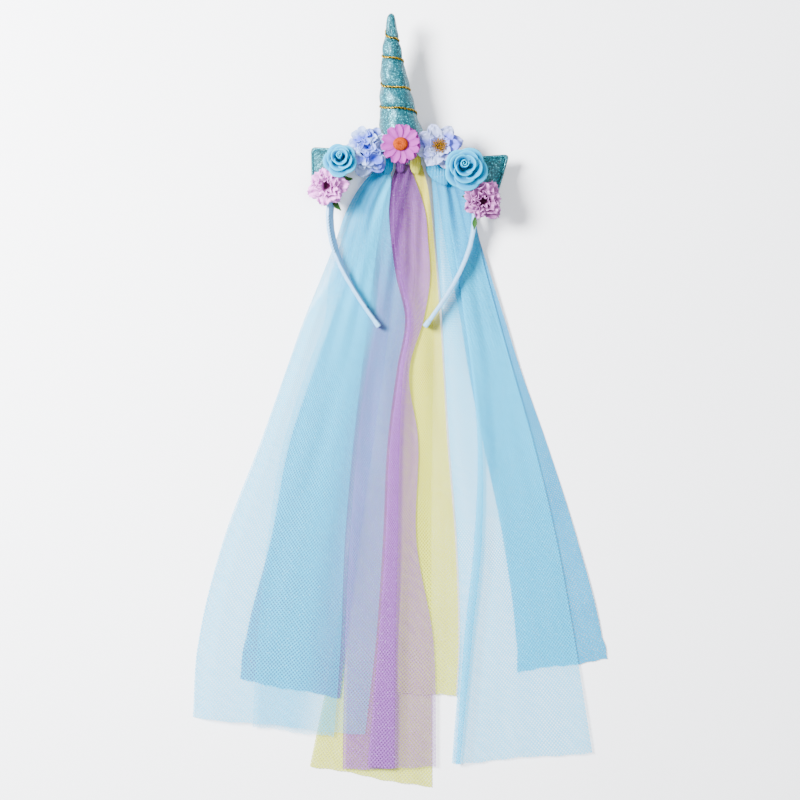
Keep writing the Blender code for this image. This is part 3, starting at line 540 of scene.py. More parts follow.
class Finish:
    """A material with one Principled shader, and short calls that add nodes to it."""

    def __init__(self, name, **sockets):
        self.material = bpy.data.materials.new(name)
        self.material.use_nodes = True
        self.tree = self.material.node_tree
        self.shader = self.tree.nodes["Principled BSDF"]
        for key, value in sockets.items():
            self.shader.inputs[key.replace("_", " ")].default_value = value

    def add(self, kind, inputs=(), **settings):
        node = self.tree.nodes.new(kind)
        for key, value in settings.items():
            setattr(node, key, value)
        for key, value in dict(inputs).items():
            if isinstance(value, bpy.types.NodeSocket):
                self.tree.links.new(value, node.inputs[key])
            else:
                node.inputs[key].default_value = value
        return node

    def place(self, source="UV", scale=(1.0, 1.0, 1.0), turn=0.0):
        """The piece's UV or Object coordinates, scaled and turned."""
        start = self.add("ShaderNodeTexCoord").outputs[source]
        values = {"Vector": start, "Scale": scale, "Rotation": (0.0, 0.0, turn)}
        return self.add("ShaderNodeMapping", values).outputs["Vector"]

    def parts(self):
        """The X and Y of the piece's UV, each by its name."""
        return self.add("ShaderNodeSeparateXYZ", {"Vector": self.place("UV")}).outputs

    def noise(self, vector, scale, detail=2.0):
        values = {"Vector": vector, "Scale": scale, "Detail": detail}
        return self.add("ShaderNodeTexNoise", values).outputs["Fac"]

    def cells(self, vector, scale, output="Distance"):
        return self.add("ShaderNodeTexVoronoi", {"Vector": vector, "Scale": scale}).outputs[output]

    def waves(self, vector, scale, distortion, detail_scale=1.0):
        values = {"Vector": vector, "Scale": scale, "Distortion": distortion, "Detail Scale": detail_scale}
        return self.add("ShaderNodeTexWave", values).outputs["Fac"]

    def math(self, operation, a, b=0.0, clamp=False):
        return self.add("ShaderNodeMath", {0: a, 1: b}, operation=operation, use_clamp=clamp).outputs[0]

    def times(self, a, b):
        return self.math("MULTIPLY", a, b)

    def spread(self, value, low, high, start=0.0, end=1.0):
        """Value from low..high to start..end, held at both ends."""
        values = {"Value": value, "From Min": low, "From Max": high, "To Min": start, "To Max": end}
        return self.add("ShaderNodeMapRange", values).outputs["Result"]

    def vary(self, noise, start, end):
        """A noise, which keeps to about 0.3 to 0.7, brought to start..end."""
        return self.spread(noise, 0.3, 0.7, start, end)

    def mix(self, share, a, b):
        """From a at a share of 0 to b at 1. Each is a colour or a node's output."""
        ends = [end if isinstance(end, bpy.types.NodeSocket) else (*end, 1.0) for end in (a, b)]
        values = {0: share, 6: ends[0], 7: ends[1]}
        return self.add("ShaderNodeMix", values, data_type="RGBA").outputs[2]

    def attribute(self, name):
        return self.add("ShaderNodeAttribute", attribute_name=name).outputs["Fac"]

    def link(self, output, socket):
        self.tree.links.new(output, self.shader.inputs[socket])

    def done(self, body, roughness, height, distance, strength):
        """Links the colour, the roughness and a bump, and gives the material."""
        self.link(body, "Base Color")
        self.link(roughness, "Roughness")
        values = {"Height": height, "Distance": distance, "Strength": strength}
        self.link(self.add("ShaderNodeBump", values).outputs["Normal"], "Normal")
        return self.material


def darker(value, share):
    """A colour times a share, paler where the share is over 1."""
    return tuple(x * share for x in value)


def glitter_cloth(name, cloth, painted_glint, flake):
    """Coated cloth of tiny flakes: each cell has its own tone, gloss and height, and a few are painted in a
    bright colour, a painted highlight in place of their sparkle."""
    finish = Finish(name, Metallic=0.45)
    place = finish.place("Object")
    cells = finish.cells(place, 1.0 / flake, "Color")
    tone = finish.add("ShaderNodeSeparateColor", {"Color": cells}).outputs
    body = finish.mix(finish.spread(tone["Red"], 0.0, 1.0), darker(cloth, 0.3), darker(cloth, 1.7))
    cloud = finish.spread(finish.noise(place, 160.0, 3.0), 0.35, 0.7, 0.0, 0.25)
    body = finish.mix(cloud, body, darker(cloth, 1.7))
    # Painted highlight: a few cells take the bright colour as painted sparkle
    body = finish.mix(finish.spread(tone["Green"], 0.84, 0.97), body, painted_glint)
    return finish.done(body, finish.spread(tone["Blue"], 0.0, 1.0, 0.3, 0.6), tone["Blue"], 0.3 * MM, 0.8)


def metallic_cord(name, base):
    """Foil-wrapped thread: fine turns round each strand, a painted shade on each strand's side that faces the
    other, where the strands meet, and paler in small random flecks."""
    finish = Finish(name, Metallic=1.0)
    threads = finish.waves(finish.place("UV"), 3.0, 0.6)
    flecks = finish.noise(finish.place("Object"), 900.0)
    inner = finish.math("ABSOLUTE", finish.math("SUBTRACT", finish.parts()["X"], 0.5))
    body = finish.mix(finish.spread(threads, 0.2, 0.9), darker(base, 0.6), base)
    # Painted shade: each strand's side that faces the other is made nearly black
    body = finish.mix(finish.spread(inner, 0.28, 0.42), darker(base, 0.04), body)
    # Paler in small random flecks
    body = finish.mix(finish.spread(flecks, 0.45, 0.75), body, darker(base, 1.25))
    return finish.done(body, finish.vary(flecks, 0.18, 0.42), threads, 0.1 * MM, 0.6)


def satin(name, base, wrap):
    """Satin ribbon: fine threads along it, a soft sheen, and a painted shade at each turn's edge."""
    finish = Finish(name, Anisotropic=0.5, Sheen_Weight=0.25, Sheen_Roughness=0.4)
    threads = finish.noise(finish.place("UV", (60.0, 900.0, 1.0)), 1.0, 3.0)
    parts = finish.parts()
    turn = finish.math("FRACT", finish.math("ADD", finish.times(parts["Y"], 1.0 / wrap), parts["X"]))
    # Painted shade: each turn is darker where it starts, beside the raised edge of the turn before
    body = finish.mix(finish.spread(turn, 0.0, 0.10, 0.55, 1.0), darker(base, 0.62), base)
    body = finish.mix(finish.vary(threads, 0.0, 0.3), body, darker(base, 1.18))
    return finish.done(body, finish.vary(threads, 0.28, 0.45), threads, 0.05 * MM, 0.5)


def petal_cloth(name, base, rim, at=(0.15, 0.75), blush=None):
    """Stiffened cloth petals: base colour at the root, rim colour outside, faint veins along
    each petal and a fine weave."""
    finish = Finish(name, Specular_IOR_Level=0.1)
    cloud = finish.noise(finish.place("Object"), 220.0)
    out = finish.math("ADD", finish.parts()["Y"], finish.spread(cloud, 0.0, 1.0, -0.28, 0.28))
    body = finish.mix(finish.spread(out, *at), base, rim)
    if blush:
        patch = finish.noise(finish.place("Object"), 60.0, 1.0)
        body = finish.mix(finish.spread(patch, 0.5, 0.66, 0.0, 0.75), body, blush)
    veins = finish.noise(finish.place("UV", (26.0, 2.5, 1.0)), 1.0)
    body = finish.mix(finish.spread(veins, 0.35, 0.7, 0.28, 0.0), body, darker(base, 0.7))
    weave = finish.noise(finish.place("Object"), 2600.0, 1.0)
    height = finish.math("ADD", veins, finish.times(weave, 0.4))
    return finish.done(body, finish.vary(weave, 0.55, 0.75), height, 0.14 * MM, 0.55)


def foam(name, base, rim):
    """Soft foam sheet: fine pores, a paler cut rim and a painted shade, deeper towards each petal's foot
    inside the folds.
    """
    finish = Finish(name, Specular_IOR_Level=0.12)
    out = finish.parts()["Y"]
    # Painted shade: darker towards each petal's foot, deep inside the rose
    body = finish.mix(finish.spread(out, 0.0, 0.75), darker(base, 0.35), base)
    body = finish.mix(finish.spread(out, 0.86, 1.0, 0.0, 0.85), body, rim)
    pores = finish.noise(finish.place("Object"), 1500.0, 3.0)
    body = finish.mix(finish.spread(pores, 0.35, 0.7, 0.2, 0.0), body, darker(base, 0.6))
    return finish.done(body, finish.vary(pores, 0.6, 0.85), pores, 0.08 * MM, 0.5)


def grainy(name, base, grain, deep):
    """Flocked grains: one bump and one painted shade for each cell, darker between them."""
    finish = Finish(name, Specular_IOR_Level=0.1)
    place = finish.place("Object")
    spots = finish.cells(place, 1.0 / grain)
    cloud = finish.noise(place, 500.0)
    # Painted shade: the deep colour fills the gaps between the grains
    body = finish.mix(finish.spread(spots, 0.2, 0.75), base, deep)
    body = finish.mix(finish.spread(cloud, 0.4, 0.7, 0.0, 0.4), body, darker(base, 1.3))
    height = finish.spread(spots, 0.0, 0.8, 1.0, 0.0)
    return finish.done(body, finish.vary(cloud, 0.6, 0.85), height, 0.3 * MM, 0.8)


def tulle(name, flat, crowded, net):
    """Net of fine threads. The point value cover says how much it hides, and the point value
    crowding how deep its colour is. A lattice of diagonal lines, product of two sines, makes
    its holes, and broad uneven bands vary it as the threads of one layer and the next come in
    and out of step."""
    finish = Finish(name, Specular_IOR_Level=0.05)
    place = finish.place("UV")
    parts = finish.parts()
    lattice = 1.0
    for operation in ("ADD", "SUBTRACT"):
        slanted = finish.math(operation, parts["X"], parts["Y"])
        lattice = finish.times(lattice, finish.math("SINE", finish.times(slanted, math.pi / net)))
    holes = finish.math("ABSOLUTE", lattice)
    grain = finish.noise(place, 2.4 / net)
    cloud = finish.noise(place, 30.0, 3.0)
    bands = finish.waves(finish.place("UV", turn=0.9), 44.0, 14.0, 0.9)
    cover = finish.attribute("cover")
    depth = finish.math("ADD", finish.attribute("crowding"), finish.vary(cloud, -0.04, 0.04))
    body = finish.mix(finish.spread(depth, 0.6, 1.0), flat, crowded)
    # Painted highlight: scattered grains of the net take the pale sparkle colour
    body = finish.mix(finish.spread(grain, 0.58, 0.74, 0.0, 0.3), body, PAINTED_SPARKLE)
    inside = finish.times(finish.spread(holes, 0.2, 1.0, 0.0, 0.7), finish.vary(grain, 1.0, 0.5))
    body = finish.mix(inside, body, darker(crowded, 0.8))
    thread = finish.spread(holes, 0.0, 1.0, 1.42, 0.42)
    fine = finish.times(finish.vary(grain, 0.88, 1.12), finish.spread(bands, 0.0, 1.0, 0.94, 1.06))
    hidden = finish.math("MULTIPLY", finish.times(cover, thread), fine, clamp=True)
    finish.link(finish.math("MAXIMUM", hidden, finish.spread(cover, 0.9, 1.0)), "Alpha")
    height = finish.math("ADD", holes, grain)
    return finish.done(body, finish.vary(grain, 0.35, 0.7), height, 0.15 * MM, 0.4)


# Band

def band_path():
    """The right half's middle line, a quarter circle and then a cubic curve, and the distance
    along it."""
    turn = np.linspace(0.0, np.pi / 2, 181)
    arc = np.stack([np.sin(turn), np.cos(turn)], axis=1) * BAND_RADIUS
    start, end = np.array([BAND_RADIUS, 0.0]), np.array([BAND_END_SPREAD, -BAND_DROP])
    upper = start - (0.0, BAND_UPPER_HANDLE)
    lower = end + np.array([math.cos(BAND_END_ANGLE), math.sin(BAND_END_ANGLE)]) * BAND_LOWER_HANDLE
    t = np.linspace(0.0, 1.0, 121)[1:, None]
    u = 1.0 - t
    limb = start * u**3 + upper * 3 * u * u * t + lower * 3 * u * t * t + end * t**3
    line = np.concatenate([arc, limb])
    return line, distances(line)


PATH, ALONG = band_path()
HALF_LENGTH = ALONG[-1]


def height_at(y):
    """The height of the band's sloping plane over the surface."""
    return CROWN_HEIGHT - (BAND_RADIUS - y) * BAND_SLOPE


def band_middle(s):
    """Points on the band's middle line, in its sloping plane; s is negative to the left."""
    x = np.sign(s) * np.interp(np.abs(s), ALONG, PATH[:, 0])
    y = np.interp(np.abs(s), ALONG, PATH[:, 1])
    return np.stack([x, y, height_at(y)], axis=-1)


def on_band(s, outwards, frontwards):
    """Points by distance along the band, outwards from its middle and to its front, where the
    strip leans outwards on the limbs and is twisted open on the left one."""
    step = 0.5 * MM
    along = unit(band_middle(s + step) - band_middle(s - step))
    out = unit(np.cross(along, [0.0, 0.0, -1.0]))
    front = unit(np.cross(out, -along))
    share = s / ARC_LENGTH
    twist = smooth((-share - 0.6) / 0.4) * smooth((1.75 + share) / 0.5) * (s < 0)
    lean = np.radians(BAND_LEAN * smooth((np.abs(share) - 0.45) / 0.5) + BAND_TWIST * twist)[..., None]
    away = out * np.cos(lean) - front * np.sin(lean)
    up = front * np.cos(lean) + out * np.sin(lean)
    return CENTRE + band_middle(s) + away * outwards[..., None] + up * frontwards[..., None]


def strip_width(s):
    """The strip's width, which narrows from half way down the crown to the ends."""
    share = smooth((np.abs(s) - 0.5 * ARC_LENGTH) / (HALF_LENGTH - 0.5 * ARC_LENGTH))
    return BAND_WIDTH + (BAND_END_WIDTH - BAND_WIDTH) * share


class HEADBAND_OT_band(bpy.types.Operator):
    """Make the ribbon-wound band with its end caps and stitches"""

    bl_idname = "headband.band"
    bl_label = "Band"

    def execute(self, context):
        settings = context.scene.headband_band
        ribbon = satin("satin_ribbon", settings.ribbon, settings.wrap)
        made = mesh_from("band_ribbon", ribbon_surface(settings), ribbon)
        fitted(closed(made), "band_ribbon", "band")
        thread = petal_cloth("stitch_thread", darker(settings.ribbon, 0.2), darker(settings.ribbon, 0.3))
        stitches = mesh_from("band_stitches", joined(whip_stitches() + [ribbon_nub()]), thread)
        caps = mesh_from("band_caps", end_caps(), ribbon)
        for extra in (stitches, caps):
            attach(closed(extra), BODY)
        return {"FINISHED"}


def ribbon_surface(settings):
    """A strip with a rounded oblong section, carried along the band. Each turn of ribbon rises
    evenly to its edge, which stands a little over the next turn, and runs round at a slant."""
    s = steps_down(-HALF_LENGTH, HALF_LENGTH, RIBBON_ROWS)
    turn = full_turn(SECTION_POINTS)
    size = rounding((HALF_LENGTH - np.abs(s)) / (0.5 * BAND_THICKNESS))
    wrap = np.mod(s / settings.wrap + turn / (2 * np.pi), 1.0)
    ridge = settings.ridge * (wrap - 0.5) * size
    return grid(strip_section(s, turn, size, ridge), (1.0, 2 * HALF_LENGTH))


def strip_section(s, turn, size, extra):
    """Points of the strip's section, a power of the sine and cosine that rounds its corners,
    shrunk to a share of its size and then grown by an extra wall."""
    halves = (BAND_THICKNESS / 2, strip_width(s) / 2)
    out, up = ((half * size + extra) * np.sign(circle) * np.abs(circle) ** BAND_CORNER
               for half, circle in zip(halves, (np.cos(turn), np.sin(turn))))
    return on_band(np.broadcast_to(s, out.shape), out, up)


def end_caps():
    """A sleeve of ribbon folded over each end of the strip. It is widest along most of its
    length and closes at both ends."""
    share = steps_down(0.0, 1.0, 30)
    size = rounding(share / 0.2)
    wall = CAP_WALL * np.clip((1.0 - share) / 0.06, -1.0, 1.0)
    turn = full_turn(SECTION_POINTS)
    patches = []
    for side in (-1, 1):
        s = side * (HALF_LENGTH + CAP_WALL - CAP_LENGTH * share)
        patches.append(grid(strip_section(s, turn, size, wall * size), (1.0, CAP_LENGTH)))
        inside = strip_section(s[-1:], turn, 0.0 * size[-1:], 0.0)
        last = strip_section(s[-1:], turn, size[-1:], wall[-1:])
        patches.append(grid(np.concatenate([last, inside]), (1.0, CAP_WALL)))
    return joined(patches)


def whip_stitches():
    """Slanting stitches over the strip's corner, along the open edge of the left limb."""
    share = np.linspace(-1.0, 1.0, 9)
    patches = []
    for i in range(STITCHES):
        s = -ARC_LENGTH - (STITCH_START + STITCH_STEP * i) + STITCH_REACH * share
        out = -(BAND_THICKNESS / 2 + STITCH_OUT) * np.interp(share, (-1.0, 0.0), (0.2, 1.0))
        up = (strip_width(s) / 2 + STITCH_UP) * np.interp(share, (0.0, 1.0), (1.0, 0.55))
        patches.append(tube(on_band(s, out, up), STITCH_RADIUS * bead(share), 8, SEAM_SIDE))
    return patches


def ribbon_nub():
    """A small knot of ribbon on the left limb, near its end."""
    share = np.linspace(-1.0, 1.0, 15)
    s = -(HALF_LENGTH - NUB_PLACE) + NUB_REACH * share
    out = np.full(share.size, -BAND_THICKNESS / 2)
    line = on_band(s, out, strip_width(s) / 2 * (0.5 + 0.6 * share))
    return tube(line, NUB_RADIUS * bead(share), 12, SEAM_SIDE)


# Horn and ears

def horn_radius(t, angle, puff, pucker):
    """A blunt cone. Between two turns of cord it bulges, and beside the cord it has gathers
    that run along the horn, with a few broad dents in the stuffing. The groove drops by more
    behind the horn than in front, as the cord does."""
    cone = HORN_RADIUS * (HORN_TIP_SHARE + (1 - HORN_TIP_SHARE) * t**HORN_TAPER)
    turns = np.interp(t, CORD_PLACES, CORD_TURNS)
    bulge = np.abs(np.sin(np.pi * turns + (angle - CORD_LEVEL * np.sin(angle)) / 2)) ** 0.55
    fade = smooth((t - 0.04) / 0.1) * (1.0 - smooth((t - 0.93) / 0.07))
    gathers = np.sin(17 * angle + 5 * np.sin(3 * turns)) + 0.6 * np.sin(29 * angle + 7 * turns)
    dents = np.sin(3 * angle + 9 * t + 1.3) * np.sin(2 * angle - 23 * t)
    dents = dents + 0.7 * np.sin(5 * angle + 31 * t + 2.0) * np.sin(17 * t + 0.5)
    radius = cone - puff * (1.0 - bulge) * fade
    radius = radius + pucker * (1.0 - bulge) * gathers * fade * np.minimum(1.0, cone / HORN_THIN)
    return (radius + HORN_DENT * dents * fade) * rounding(t / HORN_TIP_ROUND)


def horn_point(t, angle, radius):
    """Points of the horn, whose middle bows to the left."""
    x = -radius * np.sin(angle) - HORN_BEND * 4 * t * (1 - t)
    place = Matrix.Translation(HORN_SEAT) @ turned(HORN_LEAN, "Z") @ turned(HORN_RISE, "X")
    return moved(points_of(x, HORN_LENGTH * (1.0 - t), radius * np.cos(angle)), place)


def horn_surface(settings):
    """The horn's radius over its length and round it, closed at the tip and by a flat base."""
    tip = np.linspace(0, 1, 24)[:-1] ** 2 * HORN_TIP_ROUND
    t = np.concatenate([tip, np.linspace(HORN_TIP_ROUND, 1.0, HORN_ROWS)])[:, None]
    angle = full_turn(HORN_COLUMNS)
    side = horn_point(t, angle, horn_radius(t, angle, settings.puff, settings.pucker))
    base = horn_point(np.ones((2, 1)), angle, HORN_RADIUS * np.array([[0.6], [0.0]]))
    return grid(np.concatenate([side, base]))


def cord_line(settings):
    """The cord's middle line and where outwards is along it. The cord lies in the horn's groove,
    and drops by more behind the horn than in front, as a sine of the angle."""
    turns = np.linspace(*CORD_ENDS, 1000)
    angle = -2 * np.pi * turns
    t = np.interp(turns + CORD_LEVEL * np.sin(angle) / (2 * np.pi), CORD_TURNS, CORD_PLACES)
    reach = steps_down(-0.6, 0.6, 9) * settings.cord_radius / HORN_LENGTH
    groove = horn_radius(np.clip(t + reach, 0, 1), angle, settings.puff, 0.0).max(axis=0)
    line = horn_point(t, angle, groove + CORD_SINK * settings.cord_radius)
    return line, line - horn_point(t, angle, 0.0)


def cord_surface(settings):
    """Two strands wound round each other: each strand's middle turns round the cord's line
    once in every twist."""
    line, out = cord_line(settings)
    along = unit(np.gradient(line, axis=0))
    out = unit(out - (out * along).sum(1, keepdims=True) * along)
    side = np.cross(along, out)
    run = distances(line)
    ends = rounding(np.minimum(run, run[-1] - run) / STRAND_ROUNDING)
    radii = STRAND_RADIUS * settings.cord_radius * ends
    patches = []
    for start in (0.0, np.pi):
        phase = (start + 2 * np.pi * run / settings.cord_twist)[:, None]
        across = out * np.cos(phase) + side * np.sin(phase)
        middle = line + across * STRAND_OUT * settings.cord_radius
        patches.append(tube(middle, radii, 9, across, (1.0, run[-1] / MM)))
    return joined(patches)


class HEADBAND_OT_horn(bpy.types.Operator):
    """Make the stuffed horn and the twisted cord wound round it"""

    bl_idname = "headband.horn"
    bl_label = "Horn"

    def execute(self, context):
        settings = context.scene.headband_horn
        cloth = glitter_cloth("glitter_cloth", settings.cloth, settings.painted_glint, settings.flake)
        horn = closed(mesh_from("horn_cover", horn_surface(settings), cloth))
        fitted(horn, "horn_lame", "horn")
        gold = metallic_cord("metallic_cord", settings.cord)
        cord = closed(mesh_from("horn_twist", cord_surface(settings), gold))
        fitted(cord, "gold_cord", "horn_cord")
        return {"FINISHED"}


def polar(side, degrees, radius):
    """Points in the band's plane, by degrees from the crown to one side and distance."""
    turn = np.radians(degrees)
    return points_of(side * radius * np.sin(turn), radius * np.cos(turn), 0.0)


def ear_outline(side, top, tip, corner, reach):
    """A triangle with a rounded tip and lower corner, whose third side follows the band, as 160
    points at even distances."""
    base = polar(side, np.linspace(corner + 4.0, top, 25), EAR_BASE)
    tips = [polar(side, tip, EAR_BASE + reach), polar(side, corner, EAR_BASE + EAR_CORNER_REACH)]
    u = steps_down(0, 1, 13)
    rounded = []
    for at, last, following in zip(tips, (base[-1], tips[0]), (tips[1], base[0])):
        a = at + unit(last - at) * EAR_ROUNDING
        b = at + unit(following - at) * EAR_ROUNDING
        rounded.append(a * (1 - u) ** 2 + at * 2 * u * (1 - u) + b * u * u)
    line = np.concatenate([*rounded, base, rounded[0][:1]])
    run = distances(line)
    even = np.linspace(0, run[-1], 161)
    return np.stack([np.interp(even, run, axis) for axis in line.T], axis=1)


def ear_surface(name, puff):
    """Rings from the middle of the front to the edge and back to the middle of the back. The
    middle is a pillow, a groove runs inside the edge, and the edge is a round welt."""
    side, top, tip, corner, reach, droop = EARS[name]
    outline = ear_outline(side, top, tip, corner, reach)
    hinge = polar(side, (top + corner) / 2, EAR_BASE)
    middle = outline[:-1].mean(axis=0)
    ring = np.concatenate([np.linspace(0.0, 0.84, 40), np.linspace(0.85, 1.0, 16)])
    pillow = EAR_EDGE + (puff - EAR_EDGE) * np.sqrt(np.clip(1 - (ring / EAR_PILLOW) ** 2.4, 0, 1))
    height = np.where(ring < EAR_PILLOW, pillow, EAR_WELT * bead((ring - EAR_WELT_MIDDLE) / EAR_WELT_HALF))
    rings = np.concatenate([ring, ring[::-1]])[:, None]
    heights = np.concatenate([height, -height[::-1]])[:, None]
    points = middle + (outline - middle) * rings[..., None] - hinge
    crease = EAR_CREASE * np.sin(points[..., 0] * 900 + 3 * np.sin(points[..., 1] * 500))
    points[..., 2] = heights + crease * (rings < 0.84) * (1 - rings)
    along = Vector((side * hinge[1], -side * hinge[0], 0.0))
    slope = Matrix.Rotation(math.atan(BAND_SLOPE), 4, "X")
    turn = Matrix.Rotation(-math.radians(side * droop), 4, along)
    root = Matrix.Translation(CENTRE + hinge + (0.0, 0.0, height_at(hinge[1])))
    return grid(moved(points, root @ slope @ turn))


class HEADBAND_OT_ears(bpy.types.Operator):
    """Make the two padded ears"""

    bl_idname = "headband.ears"
    bl_label = "Ears"

    def execute(self, context):
        settings = context.scene.headband_horn
        cloth = bpy.data.materials["glitter_cloth"]
        for name in EARS:
            ear = closed(mesh_from(name + "_cover", ear_surface(name, settings.ear_puff), cloth))
            fitted(ear, "horn_lame", name)
        return {"FINISHED"}


# Flowers

def petal(size, width, rows=12, columns=9, root=0.35, peak=0.7, taper=0.15, round_tip=0.28,
          notch=0.0, teeth=0.0, lift=0.0, curl=0.0, trough=0.0, ruffle=0.0, waves=2.0,
          crease=0.0, phase=0.0):
    """A petal along X. v runs from root to tip and u from -1 to 1 across. Its half width grows
    from the root's share as a sine, and tapers past the peak. The tip is rounded by pulling its
    sides back by u squared, and a notch and teeth cut it. Its height is lift times v, curl
    times v squared, trough times u squared, a ruffle of sines that grows with v cubed, and a
    crease down its middle."""
    v, u = steps_down(0, 1, rows), steps_across(-1, 1, columns)
    grow = root + (1 - root) * np.sin(np.pi / 2 * np.clip(v / peak, 0, 1))
    grow = grow * (1 - taper * smooth((v - peak) / (1 - peak)))
    x = size * (v - round_tip * v**2 * u**2 - notch * v**4 * np.exp(-(u / 0.25) ** 2))
    x = x + size * teeth * v**5 * np.cos(5 * np.pi * u)
    z = size * (lift * v + curl * v**2) + width * trough * u**2 * v
    z = z + ruffle * v**3 * np.sin(waves * np.pi * u + phase) - crease * np.exp(-(u / 0.12) ** 2) * v
    return points_of(x, width / 2 * grow * u, z)


def whorl(count, heading, radius, height, tilt, seed, spread, **shape):
    """Petals round the middle at even angles, at a radius and height in millimetres, each tilted
    up by tilt degrees. A seeded random draw varies their heading, tilt and size by up to the
    spread."""
    rng = np.random.default_rng(seed)
    patches = []
    for i in range(count):
        turn, lean, scale, phase = rng.uniform(-1, 1, 4)
        points = petal(phase=phase * 3.0, **shape) * (1 + 0.5 * spread * scale)
        place = Matrix.Rotation(heading + 2 * math.pi * i / count + spread * turn * 0.5, 4, "Z")
        place = place @ shifted(radius, 0, height) @ turned(-(tilt + 25 * spread * lean), "Y")
        patches.append(grid(moved(points, place)))
    return patches


def whorls(table, seed, spread, **shape):
    """The whorls of a table, each with a seed of its own."""
    patches = []
    for i, (count, heading, radius, height, tilt, size, width) in enumerate(table):
        patches += whorl(count, heading, radius, height, tilt, seed + i, spread,
                         size=size * MM, width=width * MM, **shape)
    return patches


def neck(*rings):
    """A turned shape through rings of radius and height in millimetres, closed by a flat floor
    at its top."""
    at, places = np.linspace(0, 1, 14), np.linspace(0, 1, len(rings))
    radii, heights = (spline(at, places, column) * MM for column in zip(*rings))
    radii = np.append(radii, (0.5 * rings[-1][0] * MM, 0.02 * MM))[:, None]
    heights = np.append(heights, (rings[-1][1] * MM, rings[-1][1] * MM))[:, None]
    return grid(turned_points(radii, full_turn(29), heights), (1.0, 0.1))


def bloom(name, patches, place, material, wall, slot, node):
    """Joins a flower's petals, places them and gives them their wall."""
    points, quads, uv = joined(patches)
    made = mesh_from(name, (moved(points, place), quads, uv), material)
    return fitted(thickened(made, wall), slot, node)


class HEADBAND_OT_daisy(bpy.types.Operator):
    """Make the daisy and its disc"""

    bl_idname = "headband.daisy"
    bl_label = "Daisy"

    def execute(self, context):
        settings = context.scene.headband_flowers
        pink = settings.daisy
        cloth = petal_cloth("daisy_cloth", darker(pink, 0.72), pink, (0.0, 0.5))
        patches = [neck((4.0, 0.0), (2.6, 4.0), (2.8, 11.0), (4.5, 13.4))]
        shape = dict(size=13.6 * MM, width=7.3 * MM, root=0.36, notch=0.10, trough=0.16, crease=0.45 * MM)
        patches += whorl(12, 0.15, 3.2, 13.9, 5, 1, 0.06, curl=0.02, **shape)
        patches += whorl(11, 0.42, 3.0, 13.3, 1, 2, 0.06, curl=-0.02, **shape)
        bloom("daisy_bloom", patches, seat("daisy"), cloth, PETAL_WALL, "daisy_pink", "daisy_petals")
        orange = settings.daisy_heart
        grains = grainy("daisy_grains", orange, 0.75 * MM, darker(orange, 0.35))
        disc = closed(mesh_from("daisy_heart", disc_surface(), grains))
        fitted(disc, "daisy_orange", "daisy_disc")
        return {"FINISHED"}


def disc_surface():
    """A dome of rings whose height falls as the square root of 1 minus the radius squared,
    covered in small bumps in crossing spirals, with a dimple in its middle."""
    share, turn = steps_down(0, 1, 34), full_turn(121)
    bumps = np.sin(21 * turn + 30 * share) * np.sin(13 * turn - 34 * share) * share**0.5 * (1 - share**6)
    rise = bead(share) - 0.28 * np.exp(-(share / 0.28) ** 2)
    top = turned_points(DISC_RADIUS * share, turn, DISC_RISE * rise + DISC_BUMP * bumps) * (1.0, 0.9, 1.0)
    under = top[::-1] * (0.96, 0.96, 0.0) - (0, 0, DISC_DEPTH)
    return grid(moved(np.concatenate([top, under]) + (0, 0, DISC_HEIGHT), seat("daisy")))


class HEADBAND_OT_anemone(bpy.types.Operator):
    """Make the anemone and its stamens"""

    bl_idname = "headband.anemone"
    bl_label = "Anemone"

    def execute(self, context):
        settings = context.scene.headband_flowers
        base, rim = settings.anemone_base, settings.anemone_rim
        cloth = petal_cloth("anemone_cloth", base, rim, (0.06, 0.62), blush=darker(base, 2.2))
        patches = [neck((4.0, 0.0), (3.2, 1.6), (5.0, 2.6))]
        patches += whorls(ANEMONE_WHORLS, 3, 0.14, root=0.4, trough=0.12, ruffle=0.9 * MM, waves=2.5,
                          teeth=0.02, crease=0.3 * MM)
        bloom("anemone_bloom", patches, seat("anemone"), cloth, PETAL_WALL, "anemone_white", "anemone_petals")
        gold = grainy("stamen_grains", settings.stamen, 0.9 * MM, darker(settings.stamen, 0.12))
        stamens = closed(mesh_from("anemone_tuft", stamen_surface(), gold))
        fitted(stamens, "stamen_gold", "anemone_stamens")
        return {"FINISHED"}


def stamen_surface():
    """Curved threads that fan out from the middle, each a tube that swells to a round anther."""
    v = np.linspace(0, 1, 12)
    swell = 0.2 + 0.46 * np.exp(-((v - 0.88) / 0.09) ** 2)
    radii = swell * np.sqrt(np.clip(1 - v**14, 0, 1)) * MM
    radii[0] = 0.0
    rng = np.random.default_rng(6)
    patches = []
    for i in range(STAMENS):
        reach = TUFT_RADIUS * math.sqrt((i + 0.5) / STAMENS)
        top = (5.4 + rng.uniform(-0.7, 0.5) - 180 * reach) * MM
        line = turned_points(0.25 * reach + 0.75 * reach * v**1.6, 2.4 * i, top * v)
        patches.append(tube(line, radii, 7, np.array([0.3, 0.2, 1.0])))
    points, quads, uv = joined(patches)
    return moved(points + (0, 0, TUFT_HEIGHT), seat("anemone")), quads, uv


class HEADBAND_OT_hydrangea(bpy.types.Operator):
    """Make the hydrangea-like bloom with its wide lower petals"""

    bl_idname = "headband.hydrangea"
    bl_label = "Hydrangea"

    def execute(self, context):
        settings = context.scene.headband_flowers
        base, rim = settings.hydrangea_base, settings.hydrangea_rim
        cloth = petal_cloth("hydrangea_cloth", base, rim, (0.1, 0.72), blush=darker(base, 2.2))
        bloom("hydrangea_bloom", hydrangea_petals(), seat("hydrangea"), cloth, PETAL_WALL,
              "hydrangea_lavender", "hydrangea_florets")
        return {"FINISHED"}


